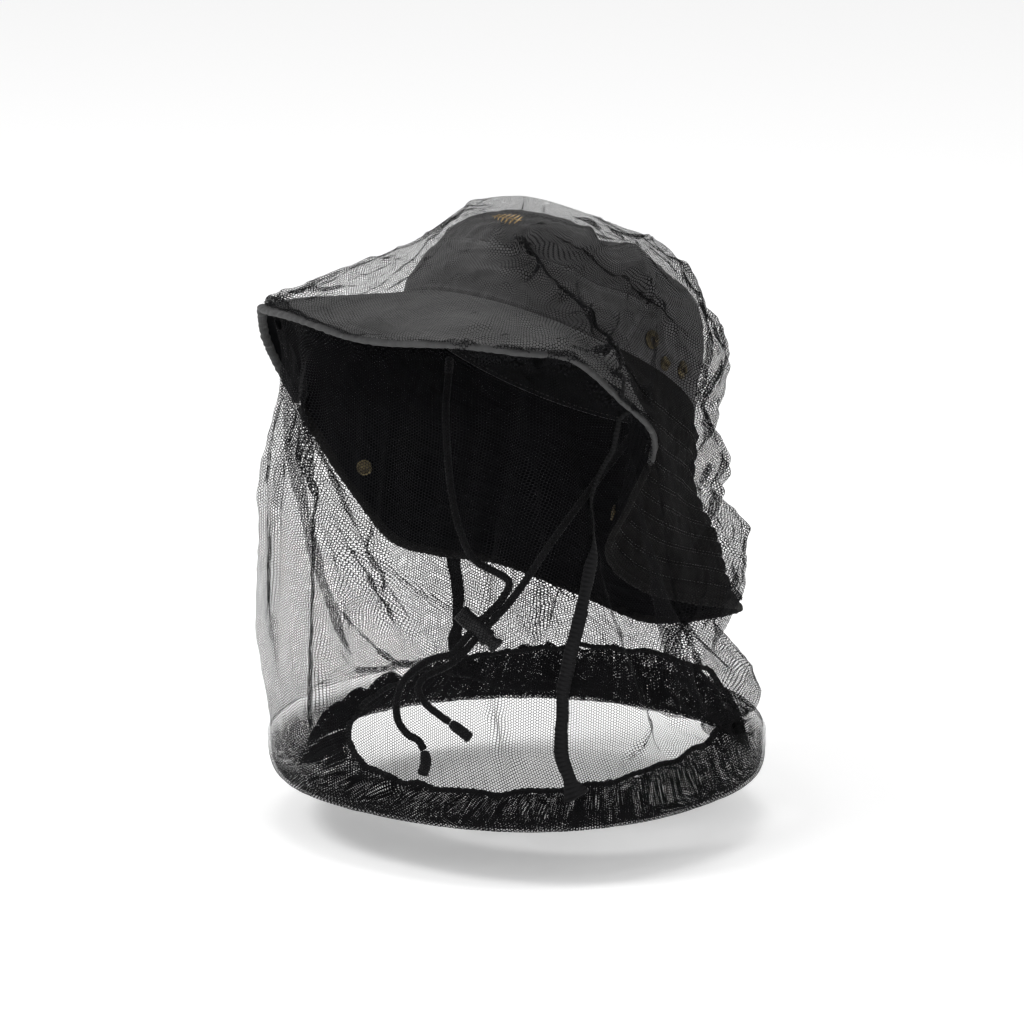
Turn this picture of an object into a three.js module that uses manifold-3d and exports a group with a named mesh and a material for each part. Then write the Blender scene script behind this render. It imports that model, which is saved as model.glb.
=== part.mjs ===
// A soft outdoor hat with a beekeeping net veil over it, as it is worn.
// Millimetres, +Z up. The wearer faces -Y and the wearer's left is +X.
// The origin is the centre of the oval seam where crown and brim meet.
import * as THREE from 'three';
import { mergeVertices, toCreasedNormals } from 'three/addons/utils/BufferGeometryUtils.js';
import Module from 'manifold-3d';

const wasm = await Module();
wasm.setup();

// ---- driving dimensions ----
const GAP = 0.3; // between parts that touch
const HAT_TILT = THREE.MathUtils.degToRad(33); // the hat sits tilted back, its front raised
const HEAD_HALF_WIDTH = 84; // seam oval, across
const HEAD_HALF_LENGTH = 100; // seam oval, front to back
const CROWN_HEIGHT = 76;
const CROWN_TAPER = 0.0015; // narrowing for each millimetre of height
const CROWN_SQUARENESS = 4.5; // how late the crown turns over to its top
const CLOTH = 1.6; // lined cotton
const BAND_HEIGHT = 32; // lower front band of the crown
const TOP_SEAM_HEIGHT = 63; // the oval top panel starts here
const SIDE_SEAM_LOW = 67; // degrees from the front, at the brim
const SIDE_SEAM_HIGH = 76; // and at the top panel
const VISOR_HALF_SPAN = 66; // degrees of the brim that belong to the front brim
const BINDING_RADIUS = 1.5;
const SWEATBAND_HEIGHT = 27;

const NET = 1.0; // thickness of a veil panel
const VEIL_CENTRE_Y = -30;
const VEIL_HALF_WIDTH = 142;
const VEIL_HALF_LENGTH = 141;
const VEIL_FRONT_POWER = 2.4; // the brim holds the front out squarely
const VEIL_BACK_POWER = 2; // the back is a plain oval
const VEIL_SEAM_ANGLE = 50; // degrees from the front: the veil is worn turned on the hat
const SKIRT_BOTTOM = -210; // the panels hang straight to here
const HEM_BOTTOM = -232; // and the doubled hem rolls under
const HEM_RADIUS = 110; // elastic opening round the shoulders
const HEM_CENTRE_Y = -8;
const HEM_CENTRE_Z = -210;
const HEM_SLOPE = 0.137; // the opening sits lower at the chest
const ELASTIC_RADIUS = 2.5;
const SEAM_TAPE_WIDTH = 7.5;
const SEAM_TAPE_THICKNESS = 1.5;

const CORD_RADIUS = 2.1;
const LOCK_CENTRE = new THREE.Vector3(3, -69, -144);
const CORD_WAY = new THREE.Vector3(-0.314, -0.693, -0.649).normalize(); // down through the lock
const LOCK_AXIS = new THREE.Vector3(0.682, 0.308, -0.66).normalize(); // towards the button
const LOCK_RADIUS = 5.2;
const LOCK_BACK = -15; // along LOCK_AXIS, from the cords
const LOCK_MOUTH = 8;
const LOCK_BORE = 3.9;
const BUTTON_TRAVEL = 3;

// ---- solids ----
const degrees = THREE.MathUtils.degToRad;
const point = (x, y, z) => new THREE.Vector3(x, y, z);

function welded(geometry) {
  const bare = geometry.clone();
  bare.deleteAttribute('normal');
  bare.deleteAttribute('uv');
  const merged = mergeVertices(bare, 1e-4);
  const kept = [];
  const index = merged.index.array;
  for (let i = 0; i < index.length; i += 3) {
    const [a, b, c] = [index[i], index[i + 1], index[i + 2]];
    if (a !== b && b !== c && c !== a) kept.push(a, b, c);
  }
  merged.setIndex(kept);
  return merged;
}

function volume(geometry) {
  const position = geometry.attributes.position;
  const corner = (i) => new THREE.Vector3().fromBufferAttribute(position, geometry.index.getX(i));
  let six = 0;
  for (let i = 0; i < geometry.index.count; i += 3) {
    six += corner(i).dot(corner(i + 1).cross(corner(i + 2)));
  }
  return six / 6;
}

// Moves every vertex of a simple closed solid to a new place, faces kept outward.
function bent(geometry, place) {
  const position = geometry.attributes.position;
  for (let i = 0; i < position.count; i++) {
    const moved = place(new THREE.Vector3().fromBufferAttribute(position, i));
    position.setXYZ(i, moved.x, moved.y, moved.z);
  }
  const solid = welded(geometry);
  if (volume(solid) < 0) solid.setIndex(Array.from(solid.index.array).reverse());
  return solid;
}

// A surface is a function of (u, v); its outward side is the side du x dv points to.
function outward(surface, u, v) {
  const step = 1e-3;
  const along = surface(u + step, v).sub(surface(u - step, v));
  const across = surface(u, v + step).sub(surface(u, v - step));
  return along.cross(across).normalize();
}

function offsetPoint(surface, u, v, distance) {
  return surface(u, v).addScaledVector(outward(surface, u, v), distance);
}

// A sheet of cloth between two offsets from a surface, over the unit square.
function sheet(surface, top, bottom, stepsU, stepsV) {
  const block = new THREE.BoxGeometry(1, 1, 1, stepsU, stepsV, 1).translate(0.5, 0.5, 0.5);
  return bent(block, (at) => offsetPoint(surface, at.x, at.y, at.z > 0.5 ? top : bottom));
}

// The same, closed on itself in u.
function band(surface, top, bottom, stepsU, stepsV) {
  const outer = Array.from({ length: stepsV + 1 }, (_, i) => new THREE.Vector2(2, i / stepsV));
  const inner = outer.map((p) => new THREE.Vector2(1, p.y)).reverse();
  const ring = new THREE.LatheGeometry([...outer, ...inner, outer[0]], stepsU);
  return bent(ring, (at) => {
    const u = Math.atan2(at.x, at.z) / (2 * Math.PI);
    return offsetPoint(surface, u, at.y, Math.hypot(at.x, at.z) > 1.5 ? top : bottom);
  });
}

// A round plate of cloth: a height over the unit disc.
function plate(surface, thickness, rings, segments) {
  const top = Array.from({ length: rings + 1 }, (_, i) => new THREE.Vector2(i / rings, 1));
  const under = top.map((p) => new THREE.Vector2(p.x, 0)).reverse();
  const disc = new THREE.LatheGeometry([...top, ...under], segments);
  return bent(disc, (at) => offsetPoint(surface, at.x, at.z, at.y > 0.5 ? 0 : -thickness));
}

function circle(radius, sides) {
  const turn = (i) => (2 * Math.PI * i) / sides;
  const corners = Array.from({ length: sides }, (_, i) => [Math.cos(turn(i)), Math.sin(turn(i))]);
  return new THREE.Shape(corners.map(([x, y]) => new THREE.Vector2(radius * x, radius * y)));
}

function tube(points, radius, sides, steps) {
  const path = new THREE.CatmullRomCurve3(points, false, 'centripetal');
  const options = { steps, extrudePath: path, bevelEnabled: false };
  return welded(new THREE.ExtrudeGeometry(circle(radius, sides), options));
}

function ringTube(centre, radius, segments, sides) {
  const profile = circle(radius, sides).getPoints();
  const corners = profile.map((p) => new THREE.Vector2(p.x + 1000, p.y));
  const lathe = new THREE.LatheGeometry([...corners, corners[0]], segments);
  return bent(lathe, (at) => {
    const angle = Math.atan2(at.x, at.z);
    const out = Math.hypot(at.x, at.z) - 1000;
    const middle = centre(angle);
    return middle.add(point(out * Math.sin(angle), -out * Math.cos(angle), at.y));
  });
}

function turned(profile, segments) {
  return bent(new THREE.LatheGeometry(profile.map(([r, y]) => new THREE.Vector2(r, y)), segments), (p) => p);
}

// Stands a solid of revolution (axis +Y) at a place, its axis along a direction.
function aimed(geometry, at, direction) {
  const turn = new THREE.Quaternion().setFromUnitVectors(point(0, 1, 0), direction);
  return geometry.clone().applyQuaternion(turn).translate(at.x, at.y, at.z);
}

function toManifold(geometry) {
  const closed = welded(geometry);
  const mesh = { numProp: 3, vertProperties: closed.attributes.position.array };
  mesh.triVerts = new Uint32Array(closed.index.array);
  return new wasm.Manifold(new wasm.Mesh(mesh));
}

function cut(geometry, tools) {
  let solid = toManifold(geometry);
  for (const tool of tools) solid = solid.subtract(toManifold(tool));
  const mesh = solid.getMesh();
  const result = new THREE.BufferGeometry();
  result.setAttribute('position', new THREE.BufferAttribute(mesh.vertProperties, 3));
  result.setIndex(new THREE.BufferAttribute(mesh.triVerts, 1));
  return result;
}

// ---- hat shape ----
// In the hat's own frame x is across, y front to back and h up the crown's axis.
function fromHat(x, y, h) {
  const turnedY = y * Math.cos(HAT_TILT) + h * Math.sin(HAT_TILT);
  const turnedZ = h * Math.cos(HAT_TILT) - y * Math.sin(HAT_TILT);
  return point(x, turnedY, turnedZ);
}

const CROWN_AXIS = fromHat(0, 0, 1);

function crownFactor(h) {
  const rise = Math.max(h, 0) / CROWN_HEIGHT;
  return (1 - CROWN_TAPER * h) * Math.sqrt(Math.max(0, 1 - rise ** CROWN_SQUARENESS));
}

// Angle is in degrees from the front, growing towards the wearer's left.
function crownPoint(angle, h) {
  const turn = degrees(angle);
  const factor = crownFactor(h);
  return fromHat(
    HEAD_HALF_WIDTH * factor * Math.sin(turn),
    -HEAD_HALF_LENGTH * factor * Math.cos(turn),
    h,
  );
}

// The edge of the brim, one side: angle round the crown and where the edge is there.
const BRIM_EDGE = [
  [0, point(0, -166, 42)],
  [20, point(58, -156, 45)],
  [31, point(88, -144, 43)],
  [42, point(109, -123, 38)],
  [52, point(124, -101, 15)],
  [62, point(131, -76, -13)],
  [72, point(109, -67, -53)],
  [82, point(87, -58, -87)],
  [95, point(88, -30, -112)],
  [112, point(91, 15, -129)],
  [140, point(85, 72, -146)],
  [160, point(43, 94, -163)],
  [180, point(0, 97, -172)],
];

function brimEdge(angle) {
  const turn = ((((angle + 180) % 360) + 360) % 360) - 180;
  const side = Math.sign(turn) || 1;
  const at = Math.abs(turn);
  const mirrored = (p) => point(-p.x, p.y, p.z);
  const last = BRIM_EDGE.length - 1;
  const key = (i) => {
    if (i < 0) return [-BRIM_EDGE[-i][0], mirrored(BRIM_EDGE[-i][1])];
    if (i > last) return [360 - BRIM_EDGE[2 * last - i][0], mirrored(BRIM_EDGE[2 * last - i][1])];
    return BRIM_EDGE[i];
  };
  let i = 0;
  while (i < last - 1 && BRIM_EDGE[i + 1][0] <= at) i++;
  const [before, from, to, after] = [key(i - 1), key(i), key(i + 1), key(i + 2)];
  const span = to[0] - from[0];
  const t = (at - from[0]) / span;
  const startSlope = to[1].clone().sub(before[1]).multiplyScalar(span / (to[0] - before[0]));
  const endSlope = after[1].clone().sub(from[1]).multiplyScalar(span / (after[0] - from[0]));
  const edge = from[1].clone().multiplyScalar(2 * t ** 3 - 3 * t ** 2 + 1);
  edge.addScaledVector(startSlope, t ** 3 - 2 * t ** 2 + t);
  edge.addScaledVector(to[1], 3 * t ** 2 - 2 * t ** 3);
  edge.addScaledVector(endSlope, t ** 3 - t ** 2);
  return point(side * edge.x, edge.y, edge.z);
}

// The brim leaves the crown and bows a little before it reaches its edge.
function brimPoint(angle, t) {
  const seam = crownPoint(angle, 0);
  const edge = brimEdge(angle);
  const flap = THREE.MathUtils.smoothstep(Math.abs(180 - angle) < 180 ? 180 - Math.abs(180 - angle) : 0, 60, 120);
  const bow = Math.sin(Math.PI * t) * THREE.MathUtils.lerp(3, -7, flap);
  const out = point(edge.x, edge.y - seam.y * 0.2, 0).normalize();
  const rise = point(0, 0, 1).multiplyScalar(1 - flap).addScaledVector(out, flap);
  return seam.lerp(edge, t).addScaledVector(rise, bow);
}

// ---- veil shape ----
function outlineRadius(angle) {
  const across = Math.abs(Math.sin(angle)) / VEIL_HALF_WIDTH;
  const along = Math.abs(Math.cos(angle)) / VEIL_HALF_LENGTH;
  const power = Math.cos(angle) > 0 ? VEIL_FRONT_POWER : VEIL_BACK_POWER;
  return (across ** power + along ** power) ** (-1 / power);
}

// Height of the veil over the hat, at fractions of its outline, every so many degrees.
const CAP_FRACTIONS = [0, 0.3, 0.5, 0.7, 0.85, 0.94, 1];
const CAP_HEIGHTS = [
  [0, [102, 92, 80, 68, 60, 55, 50]],
  [50, [102, 93, 80, 68, 60, 55, 49]],
  [72, [102, 94, 82, 65, 44, 25, 4]],
  [90, [102, 95, 83, 62, 34, 8, -40]],
  [110, [102, 95, 83, 59, 25, -14, -85]],
  [135, [102, 95, 82, 59, 28, -18, -115]],
  [180, [102, 95, 83, 66, 46, 4, -100]],
];

function smoothValue(keys, values, at) {
  const last = keys.length - 1;
  let i = 0;
  while (i < last - 1 && keys[i + 1] <= at) i++;
  const slope = (k) => {
    if (k === 0 || k === last) return 0;
    return (values[k + 1] - values[k - 1]) / (keys[k + 1] - keys[k - 1]);
  };
  const span = keys[i + 1] - keys[i];
  const t = THREE.MathUtils.clamp((at - keys[i]) / span, 0, 1);
  const start = (2 * t ** 3 - 3 * t ** 2 + 1) * values[i] + (t ** 3 - 2 * t ** 2 + t) * span * slope(i);
  const end = (3 * t ** 2 - 2 * t ** 3) * values[i + 1] + (t ** 3 - t ** 2) * span * slope(i + 1);
  return start + end;
}

function capHeight(angle, fraction) {
  const away = Math.abs(THREE.MathUtils.radToDeg(Math.atan2(Math.sin(angle), Math.cos(angle))));
  const column = CAP_FRACTIONS.map((_, i) => {
    return smoothValue(CAP_HEIGHTS.map(([key]) => key), CAP_HEIGHTS.map(([, row]) => row[i]), away);
  });
  let i = 0;
  while (i < CAP_FRACTIONS.length - 2 && CAP_FRACTIONS[i + 1] <= fraction) i++;
  const t = (fraction - CAP_FRACTIONS[i]) / (CAP_FRACTIONS[i + 1] - CAP_FRACTIONS[i]);
  return THREE.MathUtils.lerp(column[i], column[i + 1], t);
}

function veilPlace(angle, fraction, z) {
  const reach = outlineRadius(angle) * fraction;
  return point(reach * Math.sin(angle), VEIL_CENTRE_Y - reach * Math.cos(angle), z);
}

// t runs from the top of the veil (0) down the cap (to 1) and the skirt (to 2).
function veilPoint(angle, t) {
  if (t <= 1) return veilPlace(angle, t, capHeight(angle, t));
  return veilPlace(angle, 1, THREE.MathUtils.lerp(capHeight(angle, 1), SKIRT_BOTTOM, t - 1));
}

function hemCentre(angle, radius) {
  const y = HEM_CENTRE_Y - radius * Math.cos(angle);
  return point(radius * Math.sin(angle), y, HEM_CENTRE_Z + (y - HEM_CENTRE_Y) * HEM_SLOPE);
}

// ---- materials and the part itself ----
function finish(color, roughness, metalness = 0) {
  return new THREE.MeshStandardMaterial({ color, roughness, metalness });
}

const MATERIALS = {
  cotton: finish(0x2b2b2d, 0.9),
  lining: finish(0x16181d, 0.92),
  flapCotton: finish(0x35312d, 0.92),
  binding: finish(0x1b1b1d, 0.85),
  brass: finish(0x8d7a4d, 0.38, 1),
  thread: finish(0xa8843f, 0.6),
  cord: finish(0x0f0f11, 0.88),
  plastic: finish(0x0c0c0d, 0.42),
  steel: finish(0x9a9a9c, 0.3, 1),
  net: finish(0x0a0a0b, 0.8),
  tape: finish(0x0c0c0d, 0.95),
};

const group = new THREE.Group();

function add(name, geometry, material) {
  const shaded = toCreasedNormals(geometry.index ? geometry.toNonIndexed() : geometry, degrees(40));
  const mesh = new THREE.Mesh(shaded, material);
  mesh.name = name;
  group.add(mesh);
}

// ---- hardware places on the hat ----
const SIDES = [['left', 1], ['right', -1]];
const EYELETS = [['front', 77, 15], ['rear', 97, 11]];
const EYELET_HOLE = 2.4;
const EYELET_FLANGE = 5.4;
const FACE = 0.8; // a flat flange on curved cloth touches only at its rim
const STUD_PLACE = [86, 7];
const STUD_POST = 1.6;
const SOCKET_PLACE = [79, 0.86]; // on the flap's front corner
const SOCKET_RADIUS = 4.6;

const crownSurface = (angle, h) => crownPoint(angle, h);

// A place on a surface and the direction straight out of it.
function spot(surface, u, v) {
  return { at: surface(u, v), out: outward(surface, u, v) };
}

function hole(place, radius) {
  return aimed(new THREE.CylinderGeometry(radius, radius, 16, 10), place.at, place.out);
}

function crownPanels() {
  const sideSeam = (h) => THREE.MathUtils.lerp(SIDE_SEAM_LOW, SIDE_SEAM_HIGH, h / TOP_SEAM_HEIGHT);
  const margin = 0.25; // degrees left open at each seam
  const front = (low, high) => (u, v) => {
    const h = THREE.MathUtils.lerp(low, high, v);
    return crownPoint((2 * u - 1) * (sideSeam(h) - margin), h);
  };
  const rear = (u, v) => {
    const h = THREE.MathUtils.lerp(0, TOP_SEAM_HEIGHT, v);
    return crownPoint(THREE.MathUtils.lerp(sideSeam(h) + margin, 360 - sideSeam(h) - margin, u), h);
  };
  add('crown_front_band', sheet(front(0, BAND_HEIGHT - GAP), 0, -CLOTH, 22, 3), MATERIALS.cotton);
  add('crown_front_panel', sheet(front(BAND_HEIGHT, TOP_SEAM_HEIGHT), 0, -CLOTH, 22, 4), MATERIALS.cotton);
  const holes = SIDES.flatMap(([, side]) => [
    ...EYELETS.map(([, angle, h]) => hole(spot(crownSurface, side * angle, h), EYELET_HOLE + GAP)),
    hole(spot(crownSurface, side * STUD_PLACE[0], STUD_PLACE[1]), STUD_POST + GAP),
  ]);
  add('crown_rear_panel', cut(sheet(rear, 0, -CLOTH, 28, 5), holes), MATERIALS.cotton);

  const topFactor = crownFactor(TOP_SEAM_HEIGHT + GAP);
  const top = (x, y) => {
    const spread = Math.hypot(x, y);
    const angle = THREE.MathUtils.radToDeg(Math.atan2(x, -y));
    let h = CROWN_HEIGHT;
    for (let i = 0; i < 12; i++) {
      const wanted = (spread * topFactor) / (1 - CROWN_TAPER * h);
      h = CROWN_HEIGHT * Math.max(0, 1 - wanted ** 2) ** (1 / CROWN_SQUARENESS);
    }
    const turn = degrees(angle);
    const reach = spread * topFactor;
    return fromHat(
      HEAD_HALF_WIDTH * reach * Math.sin(turn),
      -HEAD_HALF_LENGTH * reach * Math.cos(turn),
      h,
    );
  };
  add('crown_top_panel', plate(top, CLOTH, 4, 28), MATERIALS.cotton);
}

function sweatband() {
  const inset = CLOTH + 2; // clear of the backs of the eyelets
  const surface = (u, v) => crownPoint(360 * u, THREE.MathUtils.lerp(0.5, SWEATBAND_HEIGHT, v));
  add('sweatband', band(surface, -inset, -inset - CLOTH, 40, 1), MATERIALS.lining);
}

function brim() {
  const start = 0.02; // clear of the crown at the seam
  const tip = 0.985; // the binding takes the rest
  const piece = (from, to) => (u, v) => {
    return brimPoint(THREE.MathUtils.lerp(from, to, u), THREE.MathUtils.lerp(tip, start, v));
  };
  const half = VISOR_HALF_SPAN;
  const visor = sheet(piece(-half, half), 0, -CLOTH, 24, 4);
  add('front_brim', visor, MATERIALS.cotton);
  const flapSurface = piece(half + 0.3, 360 - half - 0.3);
  const socketHoles = SIDES.map(([, side]) => hole(socketSpot(side), STUD_POST + GAP));
  add('rear_flap', cut(sheet(flapSurface, 0, -CLOTH, 40, 4), socketHoles), MATERIALS.flapCotton);

  const along = (from, to, count) => Array.from({ length: count + 1 }, (_, i) => {
    const angle = THREE.MathUtils.lerp(from, to, i / count);
    const edge = brimPoint(angle, 1);
    const back = brimPoint(angle, 0.95);
    const normal = outward((a, t) => brimPoint(a, 1 - t), angle, 0.02);
    const outOfEdge = edge.clone().sub(back).normalize();
    return edge.addScaledVector(outOfEdge, BINDING_RADIUS * 0.6).addScaledVector(normal, -CLOTH / 2);
  });
  add('front_brim_binding', tube(along(-half, half, 24), BINDING_RADIUS, 6, 36), MATERIALS.binding);
  add('rear_flap_binding', tube(along(half + 1.2, 358.8 - half, 48), BINDING_RADIUS, 6, 54), MATERIALS.binding);
}

function socketSpot(side) {
  const [angle, t] = SOCKET_PLACE;
  return spot((a, b) => brimPoint(a, 1 - b), side > 0 ? angle : 360 - angle, 1 - t);
}

function hardware() {
  const eyelet = turned([
    [EYELET_HOLE - 0.8, -CLOTH - 1.3], [EYELET_FLANGE - 1, -CLOTH - 1.3], [EYELET_FLANGE - 1, -CLOTH - FACE],
    [EYELET_HOLE, -CLOTH - FACE], [EYELET_HOLE, FACE], [EYELET_FLANGE, FACE], [EYELET_FLANGE - 0.5, 1.5],
    [EYELET_HOLE, 1.9], [EYELET_HOLE - 0.8, 1.5], [EYELET_HOLE - 0.8, -CLOTH - 1.3],
  ], 12);
  const stud = turned([
    [0, -CLOTH - 1.3], [3.6, -CLOTH - 1.3], [3.6, -CLOTH - FACE], [STUD_POST, -CLOTH - FACE],
    [STUD_POST, FACE], [4.2, FACE], [4.2, 1.4], [2.2, 1.7], [1.8, 2.5], [2, 3.4], [1.4, 3.9], [0, 3.9],
  ], 12);
  const socket = turned([
    [0, FACE - GAP], [STUD_POST, FACE - GAP], [STUD_POST, -CLOTH - FACE], [SOCKET_RADIUS, -CLOTH - FACE],
    [SOCKET_RADIUS, -CLOTH - 2.4], [3.4, -CLOTH - 3], [2.4, -CLOTH - 3], [2.4, -CLOTH - 1.6],
    [0, -CLOTH - 1.6],
  ], 12);
  const cap = turned([[0, 2], [4, 2], [3.5, 2.8], [2, 3.3], [0, 3.4]], 12);
  for (const [name, side] of SIDES) {
    for (const [where, angle, h] of EYELETS) {
      const place = spot(crownSurface, side * angle, h);
      add(`eyelet_${name}_${where}`, aimed(eyelet, place.at, place.out), MATERIALS.brass);
    }
    const studPlace = spot(crownSurface, side * STUD_PLACE[0], STUD_PLACE[1]);
    add(`snap_stud_${name}`, aimed(stud, studPlace.at, studPlace.out), MATERIALS.brass);
    const place = socketSpot(side);
    add(`snap_socket_${name}`, aimed(socket, place.at, place.out), MATERIALS.brass);
    add(`snap_cap_${name}`, aimed(cap, place.at, place.out), MATERIALS.brass);
  }
}

function emblem() {
  const halfTurn = 9;
  const surface = (u, v) => crownPoint(3 + (2 * u - 1) * halfTurn, THREE.MathUtils.lerp(46, 57, v));
  add('embroidered_emblem', sheet(surface, GAP + 0.8, GAP, 8, 4), MATERIALS.thread);
}

// ---- chin cord and its lock ----
const SPREAD = CORD_RADIUS + 0.15; // each cord's distance from the middle of the lock's slot

function throughLock(side, distance) {
  return LOCK_CENTRE.clone().addScaledVector(LOCK_AXIS, side * SPREAD).addScaledVector(CORD_WAY, distance);
}

const CORD_ROUTES = {
  left: [
    point(72, 1, -18), point(64, -10, -36), point(53, -21, -56), point(42, -32, -77), point(31, -41, -97),
    point(20, -47.5, -117), throughLock(1, -22), throughLock(1, -7), throughLock(1, 7), throughLock(1, 21),
    point(-6, -93, -163.5), point(-11, -101, -167), point(-12, -106, -173), point(-5, -107.5, -180.5),
    point(4, -107, -185.5), point(10, -105.5, -189),
  ],
  right: [
    point(-72, 1, -18), point(-64, -12, -36), point(-53, -25, -56), point(-41, -37, -76), point(-28, -46, -95),
    point(-14, -51, -109), throughLock(-2.6, -32), throughLock(-1, -22), throughLock(-1, -7),
    throughLock(-1, 7), throughLock(-1, 21), point(-11, -92, -158), point(-17, -99, -162.5),
    point(-24, -104, -171), point(-27, -106.5, -183), point(-26, -106.5, -194), point(-20, -105.5, -201),
    point(-13, -104.5, -204), point(-9.5, -104, -209),
  ],
};
const CORD_END_TIPS = { left: point(23, -103, -197), right: point(-11, -103.5, -224) };

function chinCord() {
  for (const [name, side] of SIDES) {
    const route = CORD_ROUTES[name];
    add(`chin_cord_${name}`, tube(route, CORD_RADIUS, 8, 36), MATERIALS.cord);

    const last = route.at(-1);
    const way = last.clone().sub(route.at(-2)).normalize();
    const start = last.clone().addScaledVector(way, 4 * GAP);
    const tip = CORD_END_TIPS[name];
    const middle = start.clone().lerp(tip, 0.3).addScaledVector(way, 2.5);
    add(`cord_end_${name}`, tube([start, middle, tip], 3.1, 8, 5), MATERIALS.cord);

    // a folded webbing tab sewn inside the crown, which the cord is stitched into
    const first = route[0];
    const up = first.clone().sub(route[1]).normalize();
    const foot = first.clone().addScaledVector(up, GAP);
    const head = first.clone().addScaledVector(up, 10);
    const tab = new THREE.ExtrudeGeometry(circle(3.2, 8), {
      steps: 3, bevelEnabled: false, extrudePath: new THREE.LineCurve3(head, foot),
    });
    add(`cord_anchor_${name}`, welded(tab), MATERIALS.tape);
  }
}

// A straight-sided slot through the lock, across its axis and along the cords.
function cordSlot(from, to, halfWidth) {
  const slot = new THREE.BoxGeometry(2 * halfWidth, to - from, 30);
  const side = LOCK_AXIS.clone().cross(CORD_WAY);
  const frame = new THREE.Matrix4().makeBasis(side, LOCK_AXIS, CORD_WAY);
  return slot.translate(0, (from + to) / 2, 0).applyMatrix4(frame).translate(...LOCK_CENTRE.toArray());
}

function cordLock() {
  const slotHalfWidth = CORD_RADIUS + 0.35;
  const slotEnd = SPREAD + CORD_RADIUS + 0.4;
  const stemFloor = -slotEnd - 1.7;
  const headBase = LOCK_MOUTH + BUTTON_TRAVEL + GAP;
  const boreFloor = LOCK_BACK + 1.6;

  const body = turned([
    [0, LOCK_BACK], [LOCK_RADIUS - 1, LOCK_BACK], [LOCK_RADIUS, LOCK_BACK + 1], [LOCK_RADIUS, LOCK_MOUTH],
    [LOCK_BORE, LOCK_MOUTH], [LOCK_BORE, boreFloor], [0, boreFloor],
  ], 16);
  const bodyPlaced = aimed(body, LOCK_CENTRE, LOCK_AXIS);
  add('cord_lock_body', cut(bodyPlaced, [cordSlot(-slotEnd, slotEnd, slotHalfWidth)]), MATERIALS.plastic);

  const stem = LOCK_BORE - 0.3;
  const button = turned([
    [0, stemFloor], [stem, stemFloor], [stem, headBase], [LOCK_RADIUS - 0.6, headBase],
    [LOCK_RADIUS - 0.6, headBase + 2.4], [LOCK_RADIUS - 1.8, headBase + 3.5], [0, headBase + 3.5],
  ], 16);
  const buttonPlaced = aimed(button, LOCK_CENTRE, LOCK_AXIS);
  const stemSlot = cordSlot(-slotEnd, slotEnd + BUTTON_TRAVEL + 0.2, slotHalfWidth);
  add('cord_lock_button', cut(buttonPlaced, [stemSlot]), MATERIALS.plastic);

  const coils = 3.5;
  const wire = 0.45;
  const low = boreFloor + wire + GAP;
  const high = stemFloor - wire - GAP;
  const helix = Array.from({ length: 43 }, (_, i) => {
    const t = i / 42;
    const turn = 2 * Math.PI * coils * t;
    return point(2.9 * Math.cos(turn), THREE.MathUtils.lerp(low, high, t), 2.9 * Math.sin(turn));
  });
  add('cord_lock_spring', aimed(tube(helix, wire, 5, 40), LOCK_CENTRE, LOCK_AXIS), MATERIALS.steel);
}

// ---- the veil ----
function veil() {
  const seam = degrees(VEIL_SEAM_ANGLE);
  const rows = [0.012, 0.15, ...CAP_FRACTIONS.slice(1), 1.25, 1.5, 1.75, 2]; // stations down a panel
  const last = rows.length - 1;
  const down = (v) => {
    const place = THREE.MathUtils.clamp(1 - v, 0, 1) * last;
    const row = Math.min(Math.floor(place), last - 1);
    return THREE.MathUtils.lerp(rows[row], rows[row + 1], place - row);
  };
  const panel = (from) => (u, v) => {
    const t = down(v);
    const margin = GAP / 2 / (outlineRadius(from) * Math.min(t, 1));
    return veilPoint(THREE.MathUtils.lerp(from + margin, from + Math.PI - margin, u), t);
  };
  add('veil_front_panel', sheet(panel(seam - Math.PI), 0, -NET, 24, last), MATERIALS.net);
  add('veil_rear_panel', sheet(panel(seam), 0, -NET, 24, last), MATERIALS.net);

  const tapeRows = 9; // from the hem up to the crown's side
  const tape = (angle) => (u, v) => {
    const t = down((v * tapeRows) / last);
    const reach = outlineRadius(angle) * Math.min(t, 1);
    return veilPoint(angle + ((u - 0.5) * SEAM_TAPE_WIDTH) / reach, t);
  };
  const lift = 4 * GAP;
  for (const [name, angle] of [['left', seam], ['right', seam - Math.PI]]) {
    add(`veil_seam_${name}`, sheet(tape(angle), lift + SEAM_TAPE_THICKNESS, lift, 1, tapeRows), MATERIALS.tape);
  }

  // The doubled hem rolls under from the panels and rises to the elastic.
  const casingInner = HEM_RADIUS + ELASTIC_RADIUS + GAP;
  const inset = 0.05;
  const casing = (u, v) => {
    const angle = 2 * Math.PI * u;
    const start = SKIRT_BOTTOM - GAP;
    if (v > 0.5) {
      const roll = (1 - v) * Math.PI;
      const depth = (HEM_BOTTOM - start) * Math.sin(roll);
      return veilPlace(angle, 1 - inset * (1 - Math.cos(roll)), start + depth);
    }
    const rise = THREE.MathUtils.smoothstep(v, 0, 0.5);
    return hemCentre(angle, casingInner).lerp(veilPlace(angle, 1 - inset, HEM_BOTTOM), rise);
  };
  add('hem_casing', band(casing, 0, -2 * NET, 44, 6), MATERIALS.net);
  const elastic = ringTube((angle) => hemCentre(angle, HEM_RADIUS), ELASTIC_RADIUS, 44, 6);
  add('hem_elastic', elastic, MATERIALS.tape);
}

crownPanels();
sweatband();
brim();
hardware();
emblem();
chinCord();
cordLock();
veil();

export default group;
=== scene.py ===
# A soft outdoor hat with a beekeeping net veil over it: the looks.
# Shapes are worked out in millimetres in the part's own frame and become metres in the meshes.
import math

import bpy
import numpy as np
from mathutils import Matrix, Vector
from mathutils.bvhtree import BVHTree


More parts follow.
